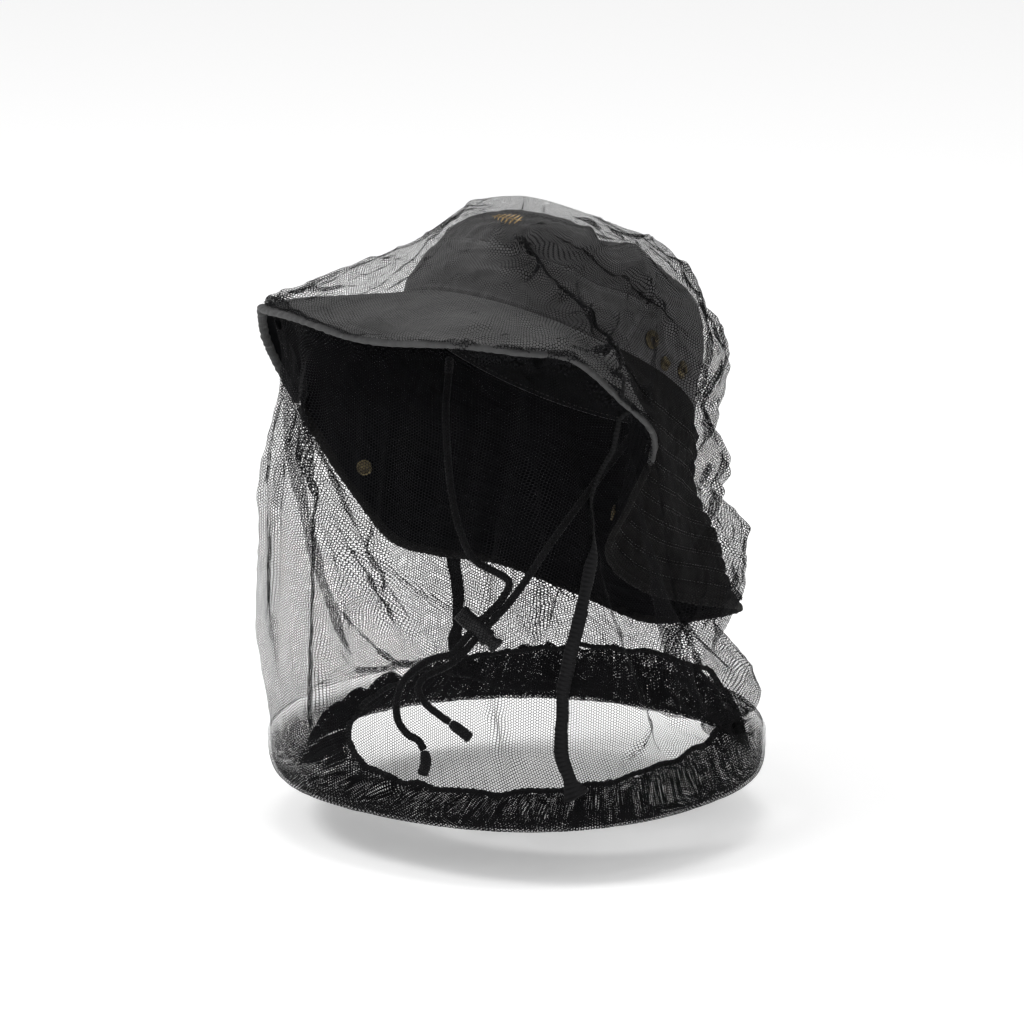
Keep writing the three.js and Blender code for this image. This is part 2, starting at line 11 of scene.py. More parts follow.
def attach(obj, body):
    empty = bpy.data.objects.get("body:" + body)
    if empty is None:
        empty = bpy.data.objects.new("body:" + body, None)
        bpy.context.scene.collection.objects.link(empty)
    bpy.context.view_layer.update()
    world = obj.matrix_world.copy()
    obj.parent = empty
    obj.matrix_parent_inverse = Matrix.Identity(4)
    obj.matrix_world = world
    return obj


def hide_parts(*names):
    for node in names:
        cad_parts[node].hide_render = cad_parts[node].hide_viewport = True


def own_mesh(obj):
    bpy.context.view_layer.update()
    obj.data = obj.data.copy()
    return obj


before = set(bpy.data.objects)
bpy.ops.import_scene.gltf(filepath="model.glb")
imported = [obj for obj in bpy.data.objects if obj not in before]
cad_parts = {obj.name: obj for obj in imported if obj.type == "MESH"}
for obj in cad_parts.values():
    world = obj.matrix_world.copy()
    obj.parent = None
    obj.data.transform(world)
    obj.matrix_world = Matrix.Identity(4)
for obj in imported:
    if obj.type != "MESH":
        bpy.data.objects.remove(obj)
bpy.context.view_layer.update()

MM = 0.001
SIDES = (("left", 1), ("right", -1))
HAT_SURFACES = []  # grids of the finished outer cloth, for the net to fall on
scene = bpy.context.scene


# ---- camera and light ----
VIEW_AZIMUTH = math.radians(37)
VIEW_ELEVATION = math.radians(14)
VIEW_DISTANCE = 4.0
FRAME_WIDTH = 0.5837
SENSOR = 36.0
AIM_ACROSS = -0.0203
AIM_UP = -0.0866

sin_a, cos_a = math.sin(VIEW_AZIMUTH), math.cos(VIEW_AZIMUTH)
sin_e, cos_e = math.sin(VIEW_ELEVATION), math.cos(VIEW_ELEVATION)
view_right = Vector((cos_a, sin_a, 0))
view_up = Vector((-sin_a * sin_e, cos_a * sin_e, cos_e))
view_back = Vector((sin_a * cos_e, -cos_a * cos_e, sin_e))
aim = view_right * AIM_ACROSS + view_up * AIM_UP


def placed(name, data, place, back):
    """A camera or light at a place, with its back turned that way."""
    made = bpy.data.objects.new(name, data)
    made.location = place
    made.rotation_euler = back.to_track_quat("Z", "Y").to_euler()
    scene.collection.objects.link(made)
    return made


def set_all(thing, **values):
    for key, value in values.items():
        setattr(thing, key, value)


camera_data = bpy.data.cameras.new("camera")
lens = SENSOR * VIEW_DISTANCE / FRAME_WIDTH
set_all(camera_data, sensor_width=SENSOR, lens=lens, clip_start=0.05, clip_end=50)
bpy.context.scene.camera = placed("camera", camera_data, aim + view_back * VIEW_DISTANCE, view_back)

LIGHT_TARGET = Vector((0, 0, -0.06))
for name, place, size, power in (
    ("key", (-1.0, -1.5, 1.9), 0.9, 30),
    ("side", (1.9, -0.9, 0.8), 0.8, 6),
    ("top", (0.0, 0.0, 2.4), 1.2, 18),
):
    light = bpy.data.lights.new(name, "AREA")
    set_all(light, shape="DISK", size=size, energy=power)
    placed(name, light, place, Vector(place) - LIGHT_TARGET)

world = bpy.data.worlds.new("studio")
world.use_nodes = True
world.node_tree.nodes["Background"].inputs["Color"].default_value = (1, 1, 1, 1)
world.node_tree.nodes["Background"].inputs["Strength"].default_value = 0.55
scene.world = world
scene.view_settings.view_transform = "Standard"
scene.cycles.transparent_max_bounces = 40


# ---- numbers and lines ----
def unit(v):
    return v / np.maximum(np.linalg.norm(v, axis=-1, keepdims=True), 1e-9)


def smoothstep(x, low, high):
    t = np.clip((x - low) / (high - low), 0, 1)
    return t * t * (3 - 2 * t)


def lerp(a, b, t):
    return a + (b - a) * t


def hump(x, width):
    return np.exp(-((x / width) ** 2))


def wrapped(degrees):
    """The same angle between -180 and 180 degrees."""
    return (degrees + 180) % 360 - 180


def circle(count):
    return np.arange(count) * 2 * math.pi / count


def over(u_from, u_to, u_count, v_from, v_to, v_count):
    """Two grids of numbers, u down the rows and v along the columns."""
    return np.meshgrid(np.linspace(u_from, u_to, u_count), np.linspace(v_from, v_to, v_count), indexing="ij")


def pairs(*grids):
    """Grids or lines of numbers side by side, stretched to one size."""
    return np.stack(np.broadcast_arrays(*grids), -1)


def ripple(points, size, seed):
    """Smooth noise over points, mostly between -1 and 1; size is the width of a lump and its dip."""
    count = 22
    draw = np.random.default_rng(seed)
    ways = unit(draw.normal(size=(count, points.shape[-1])))
    waves = 2 * math.pi / (size * draw.uniform(0.7, 1.7, count))
    starts = draw.uniform(0, 2 * math.pi, count)
    total = np.zeros(points.shape[:-1])
    for way, wave, start in zip(ways, waves, starts):
        total += np.sin((points @ way) * wave + start)
    return total * math.sqrt(2 / count) * 0.7


def crease(points, size, seed):
    """Sharp little ridges: 1 on a ridge, falling away to 0."""
    return np.clip(1 - 2.2 * np.abs(ripple(points, size, seed)), 0, 1)


def hermite(t, a, b, leaving, arriving, span=1):
    """The smooth way from a to b with given slopes at both ends, at shares t of the span."""
    return (
        (2 * t**3 - 3 * t**2 + 1) * a + (t**3 - 2 * t**2 + t) * span * leaving
        + (3 * t**2 - 2 * t**3) * b + (t**3 - t**2) * span * arriving
    )


def distances(line):
    """How far along a line each of its points is."""
    return np.concatenate([[0], np.cumsum(np.linalg.norm(np.diff(line, axis=0), axis=1))])


def points_at(places, far, line):
    return np.stack([np.interp(places, far, line[:, k]) for k in range(3)], -1)


def spline(points, per_span):
    """A centripetal Catmull-Rom curve through the points, its ends carried on straight."""
    p = np.asarray(points, float)
    p = np.concatenate([[2 * p[0] - p[1]], p, [2 * p[-1] - p[-2]]])
    t = np.linspace(0, 1, per_span, endpoint=False)[:, None]
    made = []
    for a, b, c, d in zip(p, p[1:], p[2:], p[3:]):
        t0, t1, t2 = (max(np.linalg.norm(y - x) ** 0.5, 1e-4) for x, y in ((a, b), (b, c), (c, d)))
        leaving = ((b - a) / t0 - (c - a) / (t0 + t1) + (c - b) / t1) * t1
        arriving = ((c - b) / t1 - (d - b) / (t1 + t2) + (d - c) / t2) * t1
        made.append(hermite(t, b, c, leaving, arriving))
    return np.concatenate([*made, p[-2][None]])


def evenly(line, step):
    """The same line with points an even step apart."""
    far = distances(line)
    return points_at(np.linspace(0, far[-1], max(2, int(round(far[-1] / step)) + 1)), far, line)


def frames_along(line):
    """Directions and two sideways axes along a line, turning as little as they can."""
    way = unit(np.gradient(line, axis=0))
    side = np.empty_like(line)
    last = np.array([0, 0, 1.0])
    for i, w in enumerate(way):
        last = last - w * (last @ w)
        last = last / max(np.linalg.norm(last), 1e-9)
        side[i] = last
    return way, side, np.cross(way, side)


def frames_facing(line, normal):
    """Directions and two sideways axes along a line, the second close to the normals."""
    way = unit(np.gradient(line, axis=0))
    side = unit(np.cross(normal, way))
    return way, side, unit(np.cross(way, side))


def rounded_ends(count, radius, step):
    """A factor along a tube that closes both of its ends like half balls."""
    from_end = np.minimum(np.arange(count), np.arange(count)[::-1]) * step
    t = np.clip(from_end / radius, 0, 1)
    return np.sqrt(np.clip(1 - (1 - t) ** 2, 0.002, 1))


# ---- grids and meshes ----
def surface_normals(p, closed=False):
    """Unit normals of a grid of points (rows along u, columns along v), on the du x dv side."""
    du = np.roll(p, -1, 0) - np.roll(p, 1, 0) if closed else np.gradient(p, axis=0)
    return unit(np.cross(du, np.gradient(p, axis=1)))


def joined(p):
    """A closed grid or line with its first row again at the end."""
    return np.concatenate([p, p[:1]])


def metric_uv(p, closed=False):
    """Flat coordinates of a grid in metres: mean lengths along u and v. Closed grids get one more row."""
    along = np.linalg.norm(np.diff(joined(p) if closed else p, axis=0), axis=-1).mean(1)
    across = np.linalg.norm(np.diff(p, axis=1), axis=-1).mean(0)
    u = np.concatenate([[0], np.cumsum(along)]) * MM
    v = np.concatenate([[0], np.cumsum(across)]) * MM
    return np.stack(np.meshgrid(u, v, indexing="ij"), -1)


def grid_faces(nu, nv, closed):
    """Quads of a grid as vertex numbers, and as numbers into its flat coordinates."""
    i, j = np.meshgrid(np.arange(nu if closed else nu - 1), np.arange(nv - 1), indexing="ij")
    i, j = i.ravel(), j.ravel()
    flats = np.stack([a * nv + b for a, b in ((i, j), (i + 1, j), (i + 1, j + 1), (i, j + 1))], -1)
    return flats % (nu * nv), flats


def new_object(name, vertices, faces, materials, uv=None, slots=None, values=None, sharp=False):
    """A mesh in metres from points in millimetres. uv has one pair for each face corner."""
    mesh = bpy.data.meshes.new(name)
    mesh.from_pydata((np.asarray(vertices) * MM).tolist(), [], [list(map(int, f)) for f in faces])
    if uv is not None:
        mesh.uv_layers.new(name="UVMap").data.foreach_set("uv", np.asarray(uv, np.float32).ravel())
    for key, value in (values or {}).items():
        layer = mesh.attributes.new(key, "FLOAT", "POINT")
        layer.data.foreach_set("value", np.asarray(value, np.float32).ravel())
    for material in materials:
        mesh.materials.append(material)
    if slots is not None:
        mesh.polygons.foreach_set("material_index", np.asarray(slots, np.int32))
    smoothly_shaded(mesh, sharp)
    mesh.validate()
    mesh.update()
    made = bpy.data.objects.new(name, mesh)
    scene.collection.objects.link(made)
    return made


def smoothly_shaded(mesh, sharp):
    """Smooth shading, with edges kept sharp where a turned piece needs them."""
    mesh.polygons.foreach_set("use_smooth", np.ones(len(mesh.polygons), bool))
    if sharp:
        mesh.set_sharp_from_angle(angle=math.radians(35))


def shell(name, outer, thickness, materials, closed=False, flip=False, values=None):
    """A sheet with thickness from a grid of its outer side; the last material is its inside."""
    nu, nv = outer.shape[:2]
    count = nu * nv
    inner = outer - surface_normals(outer, closed) * (-1 if flip else 1) * thickness
    flats = grid_faces(nu, nv, closed)[1]
    front, back = (flats[:, ::-1], flats) if flip else (flats, flats[:, ::-1])
    faces, corners = [front % count, back % count + count], [front, back]
    numbers = np.arange((nu + closed) * nv).reshape(-1, nv)
    borders = [(numbers[:, 0], False), (numbers[:, -1], True)]
    if not closed:
        borders += [(numbers[0], True), (numbers[-1], False)]
    for line, turned in borders:
        c, d = line[:-1], line[1:]
        a, b = c % count, d % count
        order = -1 if turned != flip else 1
        faces.append(np.stack([a, a + count, b + count, b], -1)[:, ::order])
        corners.append(np.stack([c, c, d, d], -1)[:, ::order])
    faces = np.concatenate(faces)
    slots = np.zeros(len(faces))
    slots[len(flats):2 * len(flats)] = len(materials) - 1
    uv = metric_uv(outer, closed).reshape(-1, 2)[np.concatenate(corners)].reshape(-1, 2)
    both = {k: np.concatenate([np.ravel(v), np.ravel(v)]) for k, v in (values or {}).items()}
    vertices = np.concatenate([outer.reshape(-1, 3), inner.reshape(-1, 3)])
    return new_object(name, vertices, faces, materials, uv=uv, slots=slots, values=both)


def swept(name, line, radius, sides, material, axes=None, profile=(1, 1), values=None):
    """A closed tube along a line. radius is an array (points, sides)."""
    _, side, other = axes or frames_along(line)
    turn = circle(sides)
    count = len(line)
    radius = np.broadcast_to(radius, (count, sides))
    ring = (
        line[:, None]
        + side[:, None] * (radius * np.cos(turn) * profile[0])[..., None]
        + other[:, None] * (radius * np.sin(turn) * profile[1])[..., None]
    )
    quads, flats = grid_faces(sides, count, True)
    around = np.arange(sides + 1) / sides * 2 * math.pi * float(np.mean(radius))
    uv = np.stack(np.meshgrid(around * MM, distances(line) * MM, indexing="ij"), -1).reshape(-1, 2)
    start = [i * count for i in range(sides)]
    faces = [list(q) for q in quads] + [start[::-1], [i + count - 1 for i in start]]
    corner = np.concatenate([uv[flats].reshape(-1, 2), np.zeros((2 * sides, 2))])
    vertices = ring.transpose(1, 0, 2).reshape(-1, 3)
    return new_object(name, vertices, faces, [material], uv=corner, values=values)


def little_tubes(name, tubes, material):
    """Many little closed tubes as one piece. Each is a grid of points (rings, sides)."""
    rings, sides = tubes[0].shape[:2]
    numbers = np.arange(rings * sides).reshape(rings, sides)
    following = np.roll(numbers, -1, 1)
    quads = np.stack([numbers[:-1], following[:-1], following[1:], numbers[1:]], -1).reshape(-1, 4)
    one = [*quads.tolist(), numbers[0, ::-1].tolist(), numbers[-1].tolist()]
    faces = [[i + k * rings * sides for i in face] for k in range(len(tubes)) for face in one]
    return new_object(name, np.concatenate(tubes).reshape(-1, 3), faces, [material])


def lathe(name, profile, at, axis, material, sides=56):
    """A turned piece: profile pairs (radius, height along the axis), from axis to axis or a closed loop."""
    axis = unit(np.asarray(axis, float))
    side = unit(np.cross(axis, (0.31, 0.52, 0.79)))
    other = np.cross(axis, side)
    turn = circle(sides)
    vertices, rings = [], []
    for r, h in profile:
        on_axis = r < 1e-6
        first = len(vertices)
        rings.append([first] * sides if on_axis else list(range(first, first + sides)))
        if on_axis:
            vertices.append(np.asarray(at) + axis * h)
            continue
        out = side * (np.cos(turn) * r)[:, None] + other * (np.sin(turn) * r)[:, None]
        vertices.extend(np.asarray(at) + axis * h + out)
    faces = []
    loop = [(rings[-1], rings[0])] if profile[0][0] > 1e-6 else []
    for low, high in [*zip(rings, rings[1:]), *loop]:
        for k in range(sides):
            n = (k + 1) % sides
            face = [low[k], low[n], high[n], high[k]]
            face = [v for i, v in enumerate(face) if v != face[i - 1]]
            if len(face) > 2:
                faces.append(face)
    # A profile that runs the other way round would turn its faces inwards.
    if sum(a[0] * b[1] - b[0] * a[1] for a, b in zip(profile, profile[1:] + profile[:1])) < 0:
        faces = [f[::-1] for f in faces]
    return new_object(name, np.array(vertices), faces, [material], sharp=True)


def dressed(made, body, slot, *nodes):
    """A finished piece: the body it rides on and the CAD nodes it stands for; its finish (slot) is not used.
    """
    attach(made, body)
    if nodes:
        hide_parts(*nodes)
    return made


# ---- materials ----
class Nodes:
    """Shorthand for a material's node tree."""

    def __init__(self, name, base, roughness, metallic=0.0):
        self.material = bpy.data.materials.new(name)
        self.material.use_nodes = True
        self.tree = self.material.node_tree
        self.shader = self.tree.nodes["Principled BSDF"]
        self.set("Base Color", (*base, 1))
        self.set("Roughness", roughness)
        self.set("Metallic", metallic)
        self.places = self.node("ShaderNodeTexCoord")

    def set(self, socket, value):
        self.shader.inputs[socket].default_value = value

    def node(self, kind, **settings):
        made = self.tree.nodes.new(kind)
        set_all(made, **settings)
        return made

    def fill(self, socket, value):
        """A number, a colour or another node's output into a socket."""
        if isinstance(value, tuple):
            socket.default_value = (*value, 1)
        elif isinstance(value, (int, float)):
            socket.default_value = value
        else:
            self.tree.links.new(value, socket)

    def math(self, operation, *inputs, clamp=False):
        made = self.node("ShaderNodeMath", operation=operation, use_clamp=clamp)
        for socket, value in zip(made.inputs, inputs):
            self.fill(socket, value)
        return made.outputs[0]

    def axis(self, vector, which):
        made = self.node("ShaderNodeSeparateXYZ")
        self.fill(made.inputs[0], vector)
        return made.outputs[which]

    def noise(self, scale, detail=3.0):
        made = self.node("ShaderNodeTexNoise")
        for socket, value in (("Scale", scale), ("Detail", detail), ("Roughness", 0.55),
                              ("Vector", self.places.outputs["Object"])):
            self.fill(made.inputs[socket], value)
        return made.outputs[0]

    def attribute(self, name):
        return self.node("ShaderNodeAttribute", attribute_name=name).outputs["Fac"]

    def ramp(self, value, stops):
        made = self.node("ShaderNodeValToRGB")
        elements = made.color_ramp.elements
        while len(elements) < len(stops):
            elements.new(0.5)
        for element, (place, colour) in zip(elements, stops):
            element.position = place
            element.color = (*colour, 1)
        self.fill(made.inputs[0], value)
        return made.outputs[0]

    def mix(self, share, a, b):
        made = self.node("ShaderNodeMix", data_type="RGBA")
        for socket, value in ((0, share), (6, a), (7, b)):
            self.fill(made.inputs[socket], value)
        return made.outputs[2]

    def colour(self, value):
        self.fill(self.shader.inputs["Base Color"], value)

    def roughness(self, value, low, high):
        made = self.node("ShaderNodeMapRange")
        for socket, number in (("To Min", low), ("To Max", high), ("Value", value)):
            self.fill(made.inputs[socket], number)
        self.fill(self.shader.inputs["Roughness"], made.outputs[0])

    def bump(self, *layers):
        """Layers of (height, distance in metres), the last on top."""
        normal = None
        for height, distance in layers:
            made = self.node("ShaderNodeBump")
            self.fill(made.inputs["Distance"], distance)
            self.fill(made.inputs["Height"], height)
            if normal is not None:
                self.fill(made.inputs["Normal"], normal)
            normal = made.outputs["Normal"]
        self.fill(self.shader.inputs["Normal"], normal)

    def sine(self, value, pitch):
        return self.math("SINE", self.math("MULTIPLY", value, 2 * math.pi / pitch))

    def threads(self, pitch, lean):
        """A woven height from the flat coordinates: two crossing sets of threads, pitch metres apart."""
        flat = self.places.outputs["UV"]
        u, v = self.axis(flat, 0), self.axis(flat, 1)
        warp, weft = self.sine(u, pitch), self.sine(self.math("MULTIPLY_ADD", u, lean, v), pitch)
        return self.math("MULTIPLY_ADD", self.math("MULTIPLY", warp, weft), 0.5, 0.5)


def cotton(name, base, worn_and_lit, pitch=0.0006, lean=1.0, sheen=0.25, gloss=0.25):
    """Woven cotton: threads, soft blotches from washing, the dips between threads darkened as painted shade,
    and a paler mark where the cloth stands proud or meets a seam, partly cloth paled by rubbing and partly a
    painted highlight.
    """
    n = Nodes(name, base, 0.9)
    deep = tuple(0.68 * c for c in base)
    lifted = tuple(1.28 * c for c in base)
    fine = n.noise(420)
    body = n.ramp(n.noise(34, 4), [(0.3, deep), (0.55, base), (0.74, lifted)])
    speckle = n.mix(n.math("MULTIPLY", fine, 0.35), body, lifted)
    weave = n.threads(pitch, lean)
    # Darker where the weave dips between the threads: painted shade in the grooves.
    woven = n.mix(n.math("MULTIPLY", n.math("SUBTRACT", 1.0, weave), 0.35), speckle, deep)
    # Paler by the mask stored on the meshes: partly cloth paled by rubbing, partly a painted highlight on
    # raised cloth, seams and piping.
    rubbed_and_lit = n.math("MULTIPLY", n.attribute("wear_and_highlight"), n.math("MULTIPLY_ADD", fine, 0.9, 0.25), clamp=True)
    n.colour(n.mix(rubbed_and_lit, woven, worn_and_lit))
    n.roughness(fine, 0.78, 0.96)
    n.set("Sheen Weight", sheen)
    n.set("Sheen Roughness", 0.45)
    n.set("Specular IOR Level", gloss)
    n.bump((n.noise(160, 4), 0.0006), (fine, 0.00025), (weave, 0.00014))
    return n.material


def speckled(name, base, roughness, metallic, stops, colour_noise, rough_noise, rough, grain, depth):
    """Metal or plastic: blotches of colour, uneven roughness and a fine grain."""
    n = Nodes(name, base, roughness, metallic)
    n.colour(n.ramp(n.noise(*colour_noise), stops))
    n.roughness(n.noise(*rough_noise), *rough)
    n.bump((n.noise(*grain), depth))
    return n.material


def thread(name, dark, light):
    """Sewing thread with a twisted ply."""
    n = Nodes(name, light, 0.55)
    place = n.places.outputs["Object"]
    ply = n.math("MULTIPLY_ADD", n.sine(n.math("ADD", n.axis(place, 0), n.axis(place, 2)), 0.0009), 0.5, 0.5)
    # Lighter on the ply's ridges, darker in its grooves and in random patches: painted shade in the grooves.
    n.colour(n.mix(n.math("MULTIPLY", ply, n.noise(500)), dark, light))
    n.roughness(ply, 0.45, 0.7)
    n.set("Sheen Weight", 0.3)
    n.bump((ply, 0.0001))
    return n.material


def braid(name, base, lifted, pitch, strands, sheen=0.2):
    """Braided or webbed cord: crossing slanted strands over its flat coordinates."""
    n = Nodes(name, base, 0.85)
    flat = n.places.outputs["UV"]
    u, v = n.axis(flat, 0), n.axis(flat, 1)
    one, two = (n.sine(n.math("MULTIPLY_ADD", u, way * strands, v), pitch) for way in (1, -1))
    height = n.math("MULTIPLY_ADD", n.math("MAXIMUM", one, two), 0.5, 0.5)
    fuzz = n.noise(700)
    # Lighter on the raised strands, darker between them: painted shade in the braid's grooves.
    n.colour(n.mix(n.math("MULTIPLY", height, fuzz), base, lifted))
    n.roughness(fuzz, 0.75, 0.95)
    n.set("Sheen Weight", sheen)
    n.set("Sheen Roughness", 0.4)
    n.set("Specular IOR Level", 0.12)
    n.bump((fuzz, 0.0002), (height, 0.0003))
    return n.material


NET_PITCH = 0.0017  # across one six-sided cell
NET_CUT = -0.86  # strands are where the cell wave is below this; higher is a thicker strand


def tulle(name, base, cut):
    """Six-sided net from three crossing waves over the cloth's flat coordinates. Where the cloth is
    bunched up its strands lie over each other, so they cover more."""
    n = Nodes(name, base, 0.75)
    long = 4 * math.pi / (math.sqrt(3) * NET_PITCH)
    waves = []
    for angle in np.radians((0, 60, 120)):
        dot = n.node("ShaderNodeVectorMath", operation="DOT_PRODUCT")
        n.fill(dot.inputs[0], n.places.outputs["UV"])
        dot.inputs[1].default_value = (long * math.cos(angle), long * math.sin(angle), 0)
        waves.append(n.math("COSINE", dot.outputs["Value"]))
    cells = n.math("ADD", n.math("ADD", waves[0], waves[1]), waves[2])
    edge = n.math("MULTIPLY_ADD", n.attribute("gather"), 1.9, cut)
    edge = n.math("MULTIPLY_ADD", n.noise(1400, 2), 0.12, edge)
    strand = n.node("ShaderNodeMapRange")
    n.fill(strand.inputs["From Min"], 0.1)
    n.fill(strand.inputs["From Max"], -0.1)
    n.fill(strand.inputs["Value"], n.math("SUBTRACT", cells, edge))
    n.fill(n.shader.inputs["Alpha"], strand.outputs[0])
    fibre = n.noise(2600, 2)
    n.colour(n.mix(fibre, base, tuple(2.4 * c for c in base)))
    n.roughness(fibre, 0.62, 0.85)
    n.set("Specular IOR Level", 0.05)
    n.bump((cells, 0.0002))
    return n.material


COTTON = cotton("cotton_black", (0.072, 0.071, 0.0705), (0.14, 0.139, 0.14))
CROWN_COTTON = cotton("cotton_crown", (0.09, 0.088, 0.0885), (0.17, 0.169, 0.17))
# The flap and its binding: brown-black cloth, made darker still as painted shade for the flap's side turned
# away from the lights.
FLAP_COTTON_DARK_AND_SHADED = cotton("cotton_flap", (0.0045, 0.004, 0.0035), (0.019, 0.0178, 0.0165), sheen=0.03, gloss=0.1)
FLAP_BINDING_DARK_AND_SHADED = cotton("cotton_flap_binding", (0.005, 0.0047, 0.0043), (0.024, 0.023, 0.022), pitch=0.0008,
                      sheen=0.04, gloss=0.1)
# Insides and the brim's underside: dark cloth made near black as painted shade for the hollow under and
# inside the hat.
LINING_DARK_AND_SHADED = cotton("cotton_lining", (0.0022, 0.0024, 0.0031), (0.005, 0.0052, 0.0064), sheen=0.0, gloss=0.04)
SWEAT_COTTON = cotton("cotton_sweatband", (0.005, 0.0052, 0.006), (0.014, 0.014, 0.016), pitch=0.001,
                      lean=0.0)
BINDING = cotton("cotton_binding", (0.03, 0.03, 0.031), (0.085, 0.085, 0.085), pitch=0.0008, sheen=0.12)
BRASS = speckled(
    "brass_aged", (0.2, 0.16, 0.08), 0.42, 1.0,
    [(0.34, (0.045, 0.038, 0.026)), (0.55, (0.14, 0.115, 0.066)), (0.72, (0.36, 0.29, 0.16))],
    (260, 5), (260, 5), (0.3, 0.62), (900, 3), 0.00008,
)
STEEL = speckled(
    "steel_spring", (0.5, 0.5, 0.51), 0.3, 1.0, [(0.35, (0.32, 0.32, 0.33)), (0.7, (0.6, 0.6, 0.61))],
    (400, 4), (600, 4), (0.22, 0.45), (1500, 3), 0.00004,
)
PLASTIC = speckled(
    "plastic_black", (0.011, 0.011, 0.012), 0.42, 0.0,
    [(0.35, (0.0088, 0.0088, 0.0096)), (0.7, (0.0165, 0.0165, 0.018))],
    (120, 4), (220, 5), (0.34, 0.58), (1300, 4), 0.00008,
)
GOLD_THREAD = thread("thread_gold", (0.24, 0.15, 0.05), (0.85, 0.6, 0.26))
DARK_THREAD = thread("thread_dark", (0.006, 0.006, 0.006), (0.03, 0.03, 0.03))
CORD = braid("cord_braid", (0.003, 0.003, 0.0033), (0.022, 0.022, 0.023), 0.0022, 1.2, sheen=0.08)
WEBBING = braid("webbing", (0.006, 0.006, 0.0065), (0.035, 0.035, 0.037), 0.0016, 1.0)
ELASTIC = braid("elastic_braid", (0.003, 0.003, 0.0033), (0.018, 0.018, 0.019), 0.0018, 1.4, sheen=0.05)
TAPE = braid("seam_tape", (0.0025, 0.0025, 0.0028), (0.016, 0.016, 0.017), 0.0026, 1.0, sheen=0.05)
NET = tulle("net_tulle", (0.005, 0.005, 0.0055), NET_CUT)
HEM_NET = tulle("net_hem", (0.0035, 0.0035, 0.004), NET_CUT - 0.04)


# ---- cords ----
CORD_RADIUS = 2.1
LOCK_CENTRE = np.array([3.0, -69.0, -144.0])
CORD_WAY = unit(np.array([-0.314, -0.693, -0.649]))
LOCK_AXIS = unit(np.array([0.682, 0.308, -0.66]))
SPREAD = CORD_RADIUS + 0.15
BRAID_STEP = 0.35
BRAID_DEPTH = 0.14
BRAID_PITCH = 4.6
BRAID_STRANDS = 4
END_STEP = 0.3
TAB_STEP = 0.25


def through_lock(side, distance):
    return LOCK_CENTRE + LOCK_AXIS * side * SPREAD + CORD_WAY * distance


CORD_ROUTES = {
    "left": [
        (72, 1, -18), (64, -10, -36), (53, -21, -56), (42, -32, -77), (31, -41, -97), (20, -47.5, -117),
        through_lock(1, -22), through_lock(1, -7), through_lock(1, 7), through_lock(1, 21),
        (-6, -93, -163.5), (-11, -101, -167), (-12, -106, -173), (-5, -107.5, -180.5),
        (4, -107, -185.5), (10, -105.5, -189),
    ],
    "right": [
        (-72, 1, -18), (-64, -12, -36), (-53, -25, -56), (-41, -37, -76), (-28, -46, -95), (-14, -51, -109),
        through_lock(-2.6, -32), through_lock(-1, -22), through_lock(-1, -7), through_lock(-1, 7),
        through_lock(-1, 21), (-11, -92, -158), (-17, -99, -162.5), (-24, -104, -171),
        (-27, -106.5, -183), (-26, -106.5, -194), (-20, -105.5, -201), (-13, -104.5, -204),
        (-9.5, -104, -209),
    ],
}
CORD_END_TIPS = {"left": (23, -103, -197), "right": (-11, -103.5, -224)}


def braided_radius(count, sides):
    """A braid's relief: two crossing sets of strands round a tube."""
    along = np.arange(count)[:, None] * BRAID_STEP / BRAID_PITCH * 2 * math.pi
    around = circle(sides)[None] * BRAID_STRANDS
    relief = np.maximum(np.sin(along + around), np.sin(along - around)) ** 2
    return CORD_RADIUS - BRAID_DEPTH + BRAID_DEPTH * 2 * relief


def chin_cords():
    turn = circle(24)[None]
    for name, _ in SIDES:
        route = CORD_ROUTES[name]
        line = evenly(spline(route, 24), BRAID_STEP)
        radius = braided_radius(len(line), 20)
        radius = radius * lerp(1, rounded_ends(len(line), 0.6, BRAID_STEP)[:, None], 0.35)
        piece = swept(f"chin_cord_{name}_braid", line, radius, 20, CORD)
        dressed(piece, "hat", "cord", f"chin_cord_{name}")

        way = unit(line[-1] - line[-4])
        start = line[-1] + way * 0.4
        tip = np.array(CORD_END_TIPS[name], float)
        end = evenly(spline([start, start + (tip - start) * 0.3 + way * 2.5, tip], 20), END_STEP)
        t = np.linspace(0, 1, len(end))[:, None]
        wide = 2.5 + 0.7 * smoothstep(t, 0.05, 0.3) - 0.25 * hump(t - 0.55, 0.03) - 0.3 * hump(t - 0.78, 0.02)
        wide = wide + 0.12 * np.sin(turn * 9 + t * 30) + 0.1 * np.sin(t * 95)
        wide = wide * rounded_ends(len(end), 1.1, END_STEP)[:, None]
        stub = swept(f"cord_end_{name}_wrap", end, wide, 24, WEBBING, profile=(1.0, 0.86))
        dressed(stub, "hat", "cord", f"cord_end_{name}")

        first = np.array(route[0], float)
        up = unit(first - np.array(route[1], float))
        tab_line = evenly(np.array([first + up * 0.4, first + up * 10]), TAB_STEP)
        far = np.arange(len(tab_line))[:, None] * TAB_STEP
        wide = 3.1 + 0.08 * np.sin(far * 6) + 0.16 * np.sin(turn * 12) - 0.4 * hump(far - 2.4, 0.4)
        wide = (wide - 0.4 * hump(far - 7.2, 0.4)) * rounded_ends(len(tab_line), 0.7, TAB_STEP)[:, None]
        tab = swept(f"cord_anchor_{name}_tab", tab_line, wide, 24, WEBBING, profile=(1.0, 0.8))
        dressed(tab, "hat", "tape", f"cord_anchor_{name}")


chin_cords()


